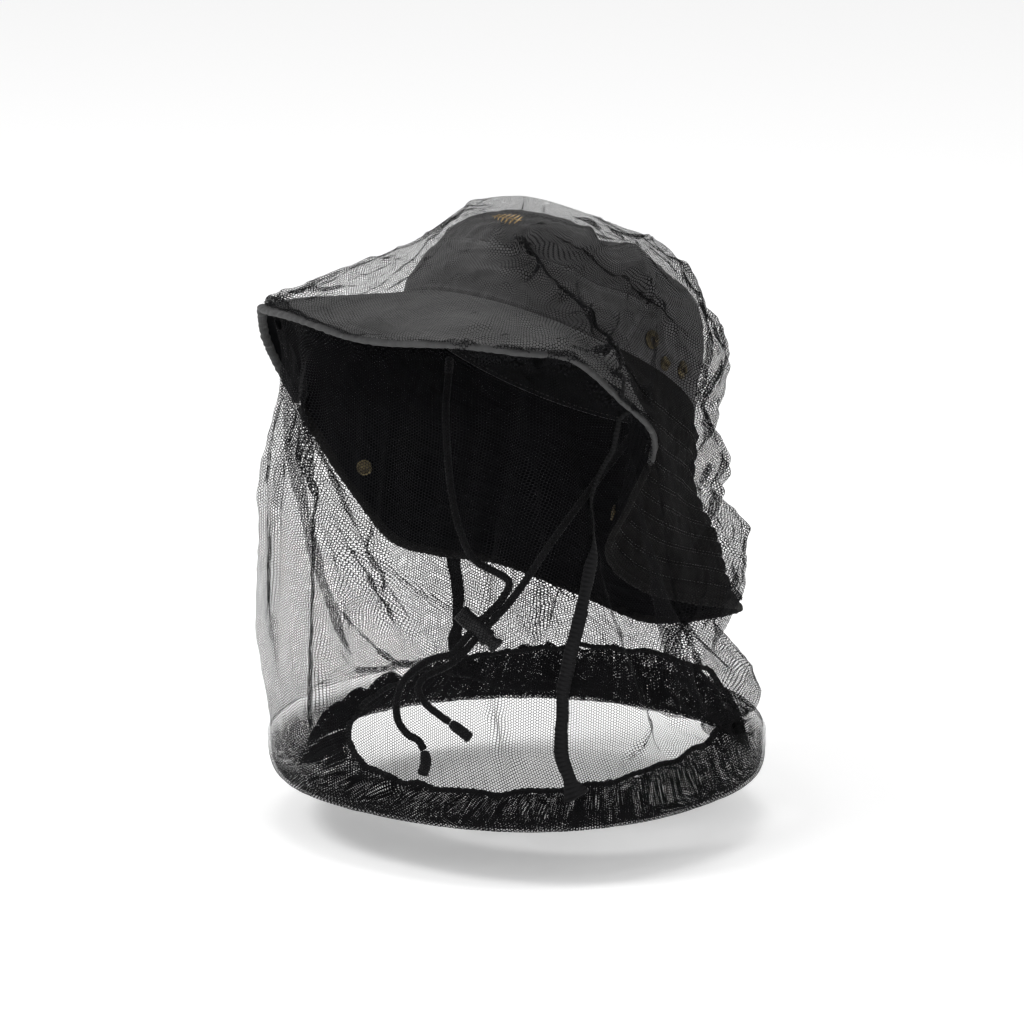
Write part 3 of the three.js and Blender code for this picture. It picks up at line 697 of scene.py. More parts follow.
# ---- hat shape ----
HAT_TILT = math.radians(33)
HEAD_HALF_WIDTH = 84
HEAD_HALF_LENGTH = 100
CROWN_HEIGHT = 76
CROWN_TAPER = 0.0015
CROWN_SQUARENESS = 4.5
CLOTH = 1.6
BAND_HEIGHT = 32
TOP_SEAM_HEIGHT = 63
SIDE_SEAM_LOW = 67
SIDE_SEAM_HIGH = 76
VISOR_HALF_SPAN = 66
SWEATBAND_HEIGHT = 27


def from_hat(x, y, h):
    turned_y = y * math.cos(HAT_TILT) + h * math.sin(HAT_TILT)
    turned_z = h * math.cos(HAT_TILT) - y * math.sin(HAT_TILT)
    return np.stack([x, turned_y, turned_z], -1)


def crown_factor(h):
    rise = np.maximum(h, 0) / CROWN_HEIGHT
    return (1 - CROWN_TAPER * h) * np.sqrt(np.maximum(0, 1 - rise**CROWN_SQUARENESS))


def crown_ring(factor, angle, h):
    """Angle in degrees from the front, growing towards the wearer's left; h up the crown's axis."""
    turn = np.radians(angle)
    return from_hat(HEAD_HALF_WIDTH * factor * np.sin(turn), -HEAD_HALF_LENGTH * factor * np.cos(turn), h)


def crown_point(angle, h):
    return crown_ring(crown_factor(h), angle, h)


BRIM_EDGE = [
    (0, (0, -166, 42)), (20, (58, -156, 45)), (31, (88, -144, 43)), (42, (109, -123, 38)),
    (52, (124, -101, 15)), (62, (131, -76, -13)), (72, (109, -67, -53)), (82, (87, -58, -87)),
    (95, (88, -30, -112)), (112, (91, 15, -129)), (140, (85, 72, -146)), (160, (43, 94, -163)),
    (180, (0, 97, -172)),
]


def brim_edge(angle):
    keys = np.array([k for k, _ in BRIM_EDGE], float)
    spots = np.array([p for _, p in BRIM_EDGE], float)
    flipped = spots * (-1, 1, 1)
    keys = np.concatenate([[-keys[1]], keys, [360 - keys[-2]]])
    spots = np.concatenate([flipped[1:2], spots, flipped[-2:-1]])
    turn = wrapped(np.asarray(angle, float))
    at = np.abs(turn)
    i = np.clip(np.searchsorted(keys, at, side="right") - 1, 1, len(keys) - 3)
    span = (keys[i + 1] - keys[i])[..., None]
    t = (at[..., None] - keys[i][..., None]) / span
    leaving = (spots[i + 1] - spots[i - 1]) * span / (keys[i + 1] - keys[i - 1])[..., None]
    arriving = (spots[i + 2] - spots[i]) * span / (keys[i + 2] - keys[i])[..., None]
    edge = hermite(t, spots[i], spots[i + 1], leaving, arriving)
    edge[..., 0] *= np.where(turn < 0, -1, 1)
    return edge


def brim_point(angle, t):
    """From the seam (t 0) to the edge of the brim (t 1), bowing a little on the way."""
    angle = np.asarray(angle, float)
    seam = crown_point(angle, np.zeros_like(angle))
    edge = brim_edge(angle)
    flap = smoothstep(np.abs(wrapped(angle)), 60, 120)
    bow = np.sin(math.pi * t) * lerp(3, -7, flap)
    out = unit(np.stack([edge[..., 0], edge[..., 1] - seam[..., 1] * 0.2, np.zeros_like(flap)], -1))
    rise = np.array([0, 0, 1]) * (1 - flap)[..., None] + out * flap[..., None]
    return lerp(seam, edge, np.asarray(t)[..., None]) + rise * bow[..., None]


def stitches(name, lines, length, gap, radius, slot):
    """Rows of sewn stitches: a small capsule for each stitch, half sunk in the cloth.
    lines holds (points, normals) for each row."""
    turn = circle(6)
    along = np.linspace(-1, 1, 5)
    swell = np.sqrt(np.clip(1 - np.abs(along) ** 2.6, 0.02, 1))
    tubes = []
    for points, normals in lines:
        far = distances(points)
        count = int(far[-1] // (length + gap))
        centres = (np.arange(count) + 0.5) * far[-1] / count
        start, middle, end = (points_at(centres + d, far, points) for d in (-length / 2, 0, length / 2))
        up = unit(points_at(centres, far, normals))
        way = unit(end - start)
        other = unit(np.cross(up, way))
        for base, w, o, n in zip(middle, way, other, up):
            tubes.append(
                base
                + w * (along * length / 2)[:, None, None]
                + o * (np.cos(turn)[None, :] * swell[:, None] * radius)[..., None]
                + n * (np.sin(turn)[None, :] * swell[:, None] * radius * 0.8)[..., None]
            )
    dressed(little_tubes(name, tubes, DARK_THREAD), "hat", slot)


# ---- the crown ----
DEGREE = HEAD_HALF_WIDTH * math.pi / 180  # along the band
SEAM_GAP = 0.1  # degrees between a panel's edge and its side seam
BELOW_SEAM = -0.8
SEAM_DEPTH = 0.9
SEAM_REACH = 3.0
EYELETS = (("front", 77, 15), ("rear", 97, 11))  # angle and height on the crown
STUD_PLACE = (86, 7)
EYELET_ROOM = 6
STUD_ROOM = 5


def crown_softness(angle, h, p):
    """How far the crown, soft from use, stands off its plain shape: slack bulges, a front fold and small
    creases.
    """
    inside = smoothstep(h, 3, 14)
    slack = 2.2 * ripple(p, 62, 11) * inside
    ridge = 3.6 * hump(angle - 37 - 0.06 * h, 5.5) * smoothstep(h, 22, 40)
    valley = -6.5 * hump(angle - 50, 9.5) * smoothstep(h, 8, 34)
    side_bulge = 4.4 * hump(angle - 64, 7) * hump(h - 56, 20)
    far_valley = -4.0 * hump(angle + 52, 12) * smoothstep(h, 10, 36)
    rear_folds = 2.6 * ripple(p * (1, 1, 0.45), 34, 12) * smoothstep(np.abs(angle), 84, 110) * inside
    small = 0.75 * crease(p, 26, 13) * inside + 0.3 * ripple(p, 9, 14) * inside
    off = slack + ridge + valley + side_bulge + far_valley + rear_folds + small
    return np.minimum(0, off) * 0.75 + np.maximum(0, off)


def seam_pull(distance, along, seed):
    """Cloth drawn in at a seam, with short puckers running away from it."""
    away = np.abs(distance)
    pucker = ripple(np.stack([along, distance * 0.25], -1), 6.5, seed)
    pucker = pucker * np.exp(-away / (SEAM_REACH * 1.6)) * 0.42
    return -SEAM_DEPTH * np.exp(-away / SEAM_REACH) + pucker


def stitch_rub_and_highlight(distance):
    """The pale line beside a row of topstitching: partly cloth paled by rubbing, partly a painted highlight.
    """
    return np.exp(-((np.abs(distance) - 2.6) / 1.1) ** 2)


def side_seam(h):
    return lerp(SIDE_SEAM_LOW, SIDE_SEAM_HIGH, h / TOP_SEAM_HEIGHT)


def crown_piece(name, angle, h, edges, seed, puff=0.0, flat_spots=1.0, wear_and_highlight=(0.25, 0.5)):
    """One crown panel over grids of angle and height. edges are (distance grid, along grid) pairs."""
    plain = crown_point(angle, h)
    height = crown_softness(wrapped(angle), h, plain) + puff
    # Paler where the cloth bulges out, beside the topstitching and on puckers by the seams: partly rubbing,
    # partly painted highlight.
    worn_and_lit = wear_and_highlight[0] * np.clip(height / 3, 0, 1)
    for k, (distance, along) in enumerate(edges):
        pull = seam_pull(distance, along, seed + k)
        height = height + pull
        worn_and_lit = worn_and_lit + wear_and_highlight[1] * stitch_rub_and_highlight(distance) + 0.35 * np.clip(pull * 2, 0, 1)
    outer = plain + surface_normals(plain) * (height * flat_spots)[..., None]
    piece = shell(name + "_cloth", outer, CLOTH, [CROWN_COTTON, LINING_DARK_AND_SHADED], values={"wear_and_highlight": worn_and_lit})
    dressed(piece, "hat", "cotton", name)
    HAT_SURFACES.append((outer, False, 5, 6))
    return outer, surface_normals(outer)


def front_grid(low, high, count):
    """Angles and heights between the side seams, and the seams round them."""
    u, h = over(-1, 1, 300, low, high, count)
    angle = u * (side_seam(h) - SEAM_GAP)
    side_gap = (side_seam(h) - SEAM_GAP - np.abs(angle)) * DEGREE
    return angle, h, [(h - low, angle * DEGREE), (high - h, angle * DEGREE), (side_gap, h)]


def crown():
    high = BAND_HEIGHT - 0.1
    angle, h, edges = front_grid(BELOW_SEAM, high, 64)
    puff = 1.5 * np.sin(math.pi * np.clip(h / high, 0, 1)) ** 0.7 + 1.3 * smoothstep(h, high - 9, high - 1)
    outer, normal = crown_piece("crown_front_band", angle, h, edges, 31, puff)
    rows = [(outer[:, k], normal[:, k]) for k in (4, 59)]

    angle, h, edges = front_grid(BAND_HEIGHT, TOP_SEAM_HEIGHT, 70)
    tuck = -1.9 * np.exp(-(h - BAND_HEIGHT) / 4.5)
    outer, normal = crown_piece("crown_front_panel", angle, h, edges, 37, tuck)
    rows.append((outer[:, 65], normal[:, 65]))
    rows += [(outer[k], normal[k]) for k in (3, 296)]

    u, h = over(0, 1, 420, BELOW_SEAM, TOP_SEAM_HEIGHT, 110)
    angle = lerp(side_seam(h) + SEAM_GAP, 360 - side_seam(h) - SEAM_GAP, u)
    gap = np.minimum(angle - side_seam(h), 360 - side_seam(h) - angle) * DEGREE
    edges = [(h, angle * DEGREE), (TOP_SEAM_HEIGHT - h, angle * DEGREE), (gap, h)]
    flat_spots = np.ones_like(h)
    for _, side in SIDES:
        for at, height, room in (*((a, up, EYELET_ROOM) for _, a, up in EYELETS), (*STUD_PLACE, STUD_ROOM)):
            across = np.abs(wrapped(angle - side * at)) * 1.55
            flat_spots *= 1 - 0.97 * np.exp(-((across**2 + (h - height) ** 2) / room**2) ** 2)
    outer, normal = crown_piece("crown_rear_panel", angle, h, edges, 43, 0.0, flat_spots, (0.3, 0.45))
    rows += [(outer[:, k], normal[:, k]) for k in (5, 105)]
    rows += [(outer[k], normal[k]) for k in (4, 415)]

    turn, spread = over(0, 360, 241, 0.004, 1, 60)
    turn, spread = turn[:-1], spread[:-1]
    top_factor = crown_factor(np.array(TOP_SEAM_HEIGHT + 0.3))
    height = np.full_like(spread, CROWN_HEIGHT)
    for _ in range(14):
        wanted = spread * top_factor / (1 - CROWN_TAPER * height)
        height = CROWN_HEIGHT * np.maximum(0, 1 - wanted**2) ** (1 / CROWN_SQUARENESS)
    plain = crown_ring(spread * top_factor, turn, height)
    rim_gap = (1 - spread) * 62
    lift = crown_softness(wrapped(turn), height, plain) * smoothstep(spread, 0.35, 1)
    lift = lift + (2.4 * ripple(plain, 55, 15) - 2.2) * smoothstep(rim_gap, 2, 20)
    pull = seam_pull(rim_gap, turn * 1.1, 51)
    # The top's rim is paler beside its topstitching and on puckers: partly rubbing, partly painted highlight.
    worn_and_lit = 0.45 * stitch_rub_and_highlight(rim_gap) + 0.3 * np.clip(pull * 2, 0, 1)
    outer = plain - surface_normals(plain, True) * (lift + pull)[..., None]
    outer[:, -1] += (outer[:, -1] - outer[:, -4]) * 0.15 + (0, 0, -1.3)  # the rim hangs over its seam
    outer[:, -2] += (0, 0, -0.5)
    piece = shell("crown_top_panel_cloth", outer, CLOTH, [CROWN_COTTON, LINING_DARK_AND_SHADED], closed=True, flip=True,
                  values={"wear_and_highlight": worn_and_lit})
    dressed(piece, "hat", "cotton", "crown_top_panel")
    HAT_SURFACES.append((outer, True, 4, 5))
    rows.append((joined(outer[:, -3]), joined(-surface_normals(outer, True)[:, -3])))
    stitches("crown_topstitching", rows, 2.1, 0.8, 0.24, "cotton")


def sweatband():
    angle, h = over(0, 360, 321, 0.5, SWEATBAND_HEIGHT, 40)
    angle, h = angle[:-1], h[:-1]
    plain = crown_point(angle, h)
    flute = 0.5 * ripple(np.stack([angle * 1.5, h * 0.2], -1), 16, 61)
    flute = flute * np.sin(math.pi * h / SWEATBAND_HEIGHT)
    roll = 0.35 * np.sin(math.pi * np.clip((h - 0.5) / 26.5, 0, 1)) ** 0.3
    outer = plain - surface_normals(plain, True) * (CLOTH + 2 - flute - roll)[..., None]
    # Paler along both edges of the band: partly rubbing, partly painted highlight.
    worn_and_lit = 0.5 * hump(h - 25.5, 1.0) + 0.5 * hump(h - 2, 1.0)
    piece = shell("sweatband_cloth", outer, CLOTH, [SWEAT_COTTON], closed=True, values={"wear_and_highlight": worn_and_lit})
    dressed(piece, "hat", "lining", "sweatband")
    normal = surface_normals(outer, True)
    inner = outer - normal * CLOTH
    lines = [(joined(inner[:, k]), joined(-normal[:, k])) for k in (3, 36)]
    stitches("sweatband_stitching", lines, 2.4, 1.0, 0.24, "lining")


# ---- the brim ----
BRIM_START = -0.015
BRIM_TIP = 0.985
FLAP_ROWS = 10
FLAP_HEM = 9.0
VISOR_SEWN = 6.5  # from the visor's edge to its row of stitches
SOCKET_PLACE = (79, 0.86)


def brim_piece(name, low, high, columns, rows, relief, materials, slot, steps):
    """A stretch of the brim between two angles, with relief(angle, plain, from_edge, from_seam, length)."""
    angle, t = over(low, high, columns, BRIM_TIP, BRIM_START, rows)
    even = np.meshgrid(angle[:, 0], np.linspace(0, 1, 24), indexing="ij")
    length = np.linalg.norm(np.diff(brim_point(*even), axis=1), axis=-1).sum(1)[:, None]
    plain = brim_point(angle, t)
    lift, worn_and_lit, extra = relief(angle, plain, (1 - t) * length, t * length, length)
    outer = plain + surface_normals(plain) * lift[..., None]
    piece = shell(name + "_cloth", outer, CLOTH, materials, values={"wear_and_highlight": worn_and_lit})
    dressed(piece, "hat", slot, name)
    HAT_SURFACES.append((outer, False, *steps))
    return outer, surface_normals(outer), extra


def visor_relief(angle, plain, from_edge, from_seam, _):
    joint = smoothstep(VISOR_HALF_SPAN + 0.3 - np.abs(angle), 0, 5)
    inside = smoothstep(from_edge, 2, 12) * smoothstep(from_seam, 1, 8) * joint
    lift = 0.9 * ripple(plain, 46, 71) * inside + 0.35 * crease(plain * (1, 1, 0.6), 24, 72) * inside
    gap = np.abs(from_edge - VISOR_SEWN)
    pucker = ripple(np.stack([angle * 2.2, from_edge * 0.3], -1), 6, 73)
    lift = lift - 0.4 * np.exp(-gap / 1.0) + 0.16 * pucker * np.exp(-gap / 5)
    lift = lift - 0.9 * np.exp(-from_seam / 2.5)
    # Paler where the visor's cloth lifts, beside its stitch line and at its edge and seam: partly rubbing,
    # partly painted highlight.
    worn_and_lit = 0.2 * np.clip(lift, 0, 1) + 0.45 * hump(from_edge - 8.0, 1.1) + 0.5 * np.exp(-from_edge / 1.8)
    sewn = int(np.argmin(np.abs(from_edge[len(angle) // 2] - VISOR_SEWN)))
    return lift, worn_and_lit + 0.3 * hump(from_seam - 3.5, 1.2), sewn


def flap_relief(angle, plain, from_edge, from_seam, length):
    quilt = np.clip((from_edge - FLAP_HEM) / np.maximum(length - FLAP_HEM - 6, 1), 0, 1) * FLAP_ROWS
    phase = np.abs(quilt - np.round(quilt)) * 2
    active = smoothstep(from_edge, FLAP_HEM - 1, FLAP_HEM + 1) * smoothstep(from_seam, 2, 9)
    along = np.radians(angle) * 95
    pucker = ripple(np.stack([along, quilt * 5.5], -1), 6.5, 81) + 0.7 * ripple(
        np.stack([along, quilt * 9], -1), 13, 82)
    puff = 0.75 * np.sqrt(np.clip(phase, 0, 1)) - 0.85 * np.exp(-(phase / 0.2) ** 2)
    joint = smoothstep(np.minimum(angle - angle[0], angle[-1] - angle), 0, 6)
    lift = active * (puff + 0.42 * pucker * (0.45 + 0.55 * np.clip(phase, 0, 1))) * lerp(0.35, 1, joint)
    wave = 1.6 * ripple(plain, 58, 83) * smoothstep(from_edge, 1, 18) * smoothstep(from_seam, 2, 20)
    hem_roll = 0.5 * np.sin(math.pi * np.clip(from_edge / FLAP_HEM, 0, 1)) ** 0.6 * (from_edge < FLAP_HEM)
    lift = lift + wave * joint - 0.9 * np.exp(-np.abs(from_edge - FLAP_HEM) / 0.8) + hem_roll
    flat_spots = 1.0
    for at in (SOCKET_PLACE[0], 360 - SOCKET_PLACE[0]):
        near = ((angle - at) * 1.6) ** 2 + (from_edge - 0.14 * length) ** 2
        flat_spots = flat_spots * (1 - np.exp(-(near / 36) ** 2))
    # Paler on the tops of the quilted puffs, at the edge and along the middle of the hem: partly rubbing,
    # partly painted highlight.
    worn_and_lit = active * (0.5 * np.clip(puff + 0.42 * pucker, 0, 1) ** 1.5) + 0.4 * np.exp(-from_edge / 2.0)
    return lift * flat_spots, worn_and_lit + 0.35 * hump(from_edge - 4.5, 1.5), quilt


def quilting(outer, normal, quilt):
    """The flap's double rows of stitches, along lines of equal quilt."""
    picks = np.arange(0, len(quilt), 2)
    numbers = np.arange(quilt.shape[1])
    rows = []
    for wanted in [k + shift for k in range(FLAP_ROWS) for shift in (-0.09, 0.09)][1:]:  # none in the hem
        where = np.array([np.interp(wanted, quilt[i], numbers) for i in picks])
        low = np.clip(where.astype(int), 0, quilt.shape[1] - 2)
        share = (where - low)[:, None]
        rows.append([lerp(p[picks, low], p[picks, low + 1], share) for p in (outer, normal)])
    return rows


def bound_edge(name, low, high, material):
    """The piping round a stretch of the brim's edge."""
    a = np.linspace(low, high, 900)
    edge = brim_point(a, np.ones_like(a))
    out = unit(edge - brim_point(a, np.full_like(a, 0.95)))
    inward = surface_normals(np.stack([edge, brim_point(a, np.full_like(a, 0.98))], 1))[:, 0]
    line = evenly(edge + out * 0.5 - inward * CLOTH / 2, 0.7)
    count, sides = len(line), 24
    share = np.linspace(0, 1, count)
    picks = np.interp(share, np.linspace(0, 1, len(a)), np.arange(len(a))).round().astype(int)
    turn = circle(sides)[None]
    far = np.arange(count)[:, None] * 0.7
    wrinkle = 0.07 * ripple(pairs(far, turn * 1.5), 5, 91)
    bind = (1 + wrinkle + 0.04 * np.sin(far * 0.9)) * rounded_ends(count, 1.4, 0.7)[:, None]
    # Paler at the binding's two folded edges and on its wrinkles: partly rubbing, partly painted highlight on
    # the piping.
    wear_and_highlight = np.broadcast_to(0.3 + 0.5 * np.abs(np.cos(turn)) ** 3 + 0.6 * wrinkle, (count, sides))
    tape = swept(name + "_tape", line, bind, sides, material, axes=frames_facing(line, inward[picks]),
                 profile=(2.7, 1.75), values={"wear_and_highlight": wear_and_highlight.T.ravel()})
    dressed(tape, "hat", "binding", name)


def brim():
    outer, normal, sewn = brim_piece(
        "front_brim", -VISOR_HALF_SPAN - 0.3, VISOR_HALF_SPAN + 0.3, 360, 90, visor_relief,
        [COTTON, LINING_DARK_AND_SHADED], "cotton", (5, 6),
    )
    rows = [(outer[:, k], normal[:, k]) for k in (sewn, 87)]
    rows.append((outer[:, sewn] - normal[:, sewn] * CLOTH, -normal[:, sewn]))
    flap = brim_piece(
        "rear_flap", VISOR_HALF_SPAN - 0.3, 360 - VISOR_HALF_SPAN + 0.3, 620, 170, flap_relief,
        [FLAP_COTTON_DARK_AND_SHADED, LINING_DARK_AND_SHADED], "flap_cotton", (6, 8),
    )
    stitches("brim_stitching", rows + quilting(*flap), 2.0, 0.8, 0.22, "cotton")
    bound_edge("front_brim_binding", -VISOR_HALF_SPAN, VISOR_HALF_SPAN, BINDING)
    bound_edge("rear_flap_binding", VISOR_HALF_SPAN + 0.4, 359.6 - VISOR_HALF_SPAN, FLAP_BINDING_DARK_AND_SHADED)


# ---- metal fittings and the embroidered mark ----
def spot_on(surface, u, v):
    """A place on a surface, and the way it faces."""
    step = 1e-3
    du = surface(np.array(u + step), np.array(float(v))) - surface(np.array(u - step), np.array(float(v)))
    dv = surface(np.array(float(u)), np.array(v + step)) - surface(np.array(float(u)), np.array(v - step))
    return surface(np.array(float(u)), np.array(float(v))), unit(np.cross(du, dv))


def arc(centre, radius, start, stop, count=8):
    turn = np.radians(np.linspace(start, stop, count))
    return [(centre[0] + radius * math.cos(a), centre[1] + radius * math.sin(a)) for a in turn]


def fittings():
    back = -CLOTH - 1.3
    eyelet = (
        [(1.7, back + 0.3), (1.9, back), (4.2, back), (4.5, back + 0.25), (4.3, -CLOTH - 0.85),
         (2.5, -CLOTH - 0.8), (2.42, 0.7), (5.2, 0.75)]
        + arc((4.9, 1.15), 0.5, -40, 100)
        + arc((2.9, 1.35), 1.15, 70, 180)
    )
    stud = (
        [(0, back), (3.3, back), (3.6, back + 0.2), (3.5, -CLOTH - 0.8), (1.6, -CLOTH - 0.75), (1.6, 0.8),
         (4.0, 0.8), (4.2, 1.0), (4.05, 1.3), (3.3, 1.45), (3.0, 1.3), (2.5, 1.45), (1.75, 1.8), (1.62, 2.3)]
        + arc((0.75, 3.0), 1.25, -30, 80)
        + [(0.4, 4.22), (0, 4.24)]
    )
    socket = [
        (0, 0.5), (1.4, 0.5), (1.6, 0.4), (1.6, -CLOTH - 0.8), (4.4, -CLOTH - 0.8), (4.6, -CLOTH - 1.0),
        (4.55, -2.9), (4.2, -3.3), (3.6, -3.35), (3.2, -3.0), (2.9, -3.35), (2.5, -3.3), (2.35, -3.0),
        (2.35, -CLOTH - 1.6), (0, -CLOTH - 1.6),
    ]
    cap = [(0, 2.0), (3.9, 2.0), (4.15, 2.15), (4.1, 2.5), (3.8, 2.75), (3.4, 2.72), (3.2, 2.62), (2.9, 2.9),
           (2.0, 3.25), (1.0, 3.4), (0, 3.43)]
    cap_stem = [(0, 0.55), (2.6, 0.55), (3.2, 0.8), (3.3, 1.3), (3.6, 1.75), (3.6, 1.95), (0, 1.95)]
    for name, side in SIDES:
        at, out = spot_on(brim_point, side * SOCKET_PLACE[0] % 360, SOCKET_PLACE[1])
        snap = (at, -out)
        turned = [(f"eyelet_{name}_{where}", "_ring", eyelet, spot_on(crown_point, side * angle, h))
                  for where, angle, h in EYELETS]
        turned += [
            (f"snap_stud_{name}", "_turned", stud, spot_on(crown_point, side * STUD_PLACE[0], STUD_PLACE[1])),
            (f"snap_socket_{name}", "_turned", socket, snap),
            (f"snap_cap_{name}", "_turned", cap, snap),
        ]
        for node, ending, profile, spot in turned:
            dressed(lathe(node + ending, profile, *spot, BRASS), "hat", "brass", node)
        dressed(lathe(f"snap_cap_{name}_rim", cap_stem, *snap, BRASS, 48), "hat", "brass")


EMBLEM_ANGLE = 3
EMBLEM_HEIGHT = 51.5
EMBLEM_LIFT = 0.6
LEAVES = ((-6.6, 1.6, 52), (-4.4, 2.2, 58), (-2.0, 2.7, 66), (0.6, 3.0, 74), (3.2, 2.9, 82), (5.6, 2.2, 88))


def emblem():
    """A small embroidered sprig in satin stitch: a stem and pairs of leaves (place, size, lean)."""
    lines = []
    for x, size, lean in LEAVES:
        for up in (1, -1):
            turn = math.radians(lean * up)
            slant = turn + 0.9 * up
            for share in np.linspace(0.06, 0.94, 11):
                reach = size * 1.55 * share
                half = 0.52 * size * math.sin(math.pi * share ** 0.8) * 0.55
                middle = np.array((x + reach * math.cos(turn) * 0.8, -0.5 + reach * math.sin(turn)))
                across = half * np.array((math.cos(slant), math.sin(slant)))
                lines.append((middle - across, middle + across))
    for x in np.linspace(-8.2, 6.6, 22):
        lines.append(((x, -0.75 + 0.02 * x), (x + 0.75, -0.25 + 0.02 * x)))
    arch = 0.75 + 0.35 * np.sin(np.linspace(0, math.pi, 7)) + EMBLEM_LIFT
    radius = 0.21 * np.sqrt(np.clip(1 - np.abs(np.linspace(-1, 1, 7)) ** 4, 0.06, 1))[:, None]
    turn = circle(6)
    tubes = []
    for start, end in lines:
        angle, h = np.linspace(start, end, 7).T + [[EMBLEM_ANGLE], [EMBLEM_HEIGHT]]
        _, out = spot_on(crown_point, angle[3], h[3])
        line = crown_point(angle, h) + out * arch[:, None]
        _, side, other = frames_along(line)
        tubes.append(line[:, None] + side[:, None] * (radius * np.cos(turn))[..., None]
                     + other[:, None] * (radius * np.sin(turn))[..., None])
    dressed(little_tubes("embroidered_sprig", tubes, GOLD_THREAD), "hat", "thread", "embroidered_emblem")


# ---- the cord lock ----
LOCK_RADIUS = 5.2
LOCK_BACK = -15
LOCK_MOUTH = 8
LOCK_BORE = 3.9
BUTTON_TRAVEL = 3
WIRE_RADIUS = 0.45
COIL_RADIUS = 2.9
COILS = 3.5
LOCK_SIDE = unit(np.cross(LOCK_AXIS, CORD_WAY))


def slotted(piece, low, high, half_width):
    """Cuts the straight slot for the two cords through a turned piece, with rounded ends."""
    outline = arc((0, high - half_width), half_width, 0, 180, 13)
    outline += arc((0, low + half_width), half_width, 180, 360, 13)
    count = len(outline)
    vertices = [LOCK_CENTRE + LOCK_SIDE * x + LOCK_AXIS * y + CORD_WAY * z
                for z in (-14, 14) for x, y in outline]
    faces = [[k, (k + 1) % count, count + (k + 1) % count, count + k] for k in range(count)]
    faces += [list(range(count))[::-1], list(range(count, 2 * count))]
    tool = new_object("slot_tool", np.array(vertices), faces, [])
    set_all(piece.modifiers.new("slot", "BOOLEAN"), operation="DIFFERENCE", solver="EXACT", object=tool)
    bpy.context.view_layer.update()
    mesh = bpy.data.meshes.new_from_object(piece.evaluated_get(bpy.context.evaluated_depsgraph_get()))
    piece.modifiers.clear()
    piece.data = mesh
    bpy.data.objects.remove(tool)
    smoothly_shaded(mesh, True)
    return piece


def cord_lock():
    half = CORD_RADIUS + 0.6
    slot_end = SPREAD + CORD_RADIUS + 0.4
    floor = LOCK_BACK + 1.6
    groove = LOCK_RADIUS - 0.28
    ribs = []
    for k in range(9):
        h = -13.2 + k * 0.9
        ribs += [(LOCK_RADIUS, h), (LOCK_RADIUS, h + 0.35), (groove, h + 0.5), (groove, h + 0.75)]
    body = (
        [(0, LOCK_BACK), (2.0, LOCK_BACK), (2.3, LOCK_BACK + 0.25), (3.2, LOCK_BACK + 0.25), (3.5, LOCK_BACK)]
        + arc((LOCK_RADIUS - 1, LOCK_BACK + 1), 1, -90, 0, 6)
        + ribs
        + [(LOCK_RADIUS, LOCK_MOUTH - 2.2), (LOCK_RADIUS - 0.2, LOCK_MOUTH - 2.0),
           (LOCK_RADIUS, LOCK_MOUTH - 1.8), (LOCK_RADIUS, LOCK_MOUTH - 0.3), (LOCK_RADIUS - 0.3, LOCK_MOUTH),
           (LOCK_BORE + 0.2, LOCK_MOUTH), (LOCK_BORE, LOCK_MOUTH - 0.2), (LOCK_BORE, floor), (0, floor)]
    )
    piece = lathe("cord_lock_barrel", body, LOCK_CENTRE, LOCK_AXIS, PLASTIC, 64)
    dressed(slotted(piece, -slot_end, slot_end, half), "cord_lock", "plastic", "cord_lock_body")

    stem = LOCK_BORE - 0.3
    stem_floor = -slot_end - 1.7
    head = LOCK_MOUTH + BUTTON_TRAVEL + 0.3
    top = LOCK_RADIUS - 0.6
    button = (
        [(0, stem_floor), (stem - 0.3, stem_floor), (stem, stem_floor + 0.3), (stem, head - 0.2),
         (stem + 0.2, head), (top - 0.2, head), (top, head + 0.2), (top, head + 0.9),
         (top - 0.18, head + 1.05), (top, head + 1.2), (top, head + 2.3)]
        + arc((top - 1.2, head + 2.3), 1.2, 0, 80, 7)
        + [(2.2, head + 3.45), (1.9, head + 3.2), (0.9, head + 3.15), (0, head + 3.15)]
    )
    piece = lathe("cord_lock_plunger", button, LOCK_CENTRE, LOCK_AXIS, PLASTIC, 64)
    piece = slotted(piece, -slot_end, slot_end + BUTTON_TRAVEL + 0.2, half)
    dressed(piece, "lock_button", "plastic", "cord_lock_button")

    t = np.linspace(0, 1, 260)
    turn = 2 * math.pi * COILS * t
    height = lerp(floor + WIRE_RADIUS + 0.3, stem_floor - WIRE_RADIUS - 0.3, t)
    line = (LOCK_CENTRE + LOCK_AXIS * height[:, None] + LOCK_SIDE * (COIL_RADIUS * np.cos(turn))[:, None]
            + np.cross(LOCK_AXIS, LOCK_SIDE) * (COIL_RADIUS * np.sin(turn))[:, None])
    line = evenly(line, 0.25)
    radius = WIRE_RADIUS * rounded_ends(len(line), 0.45, 0.25)[:, None]
    coil = dressed(swept("cord_lock_coil", line, radius, 12, STEEL), "cord_lock", "steel", "cord_lock_spring")
    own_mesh(coil)


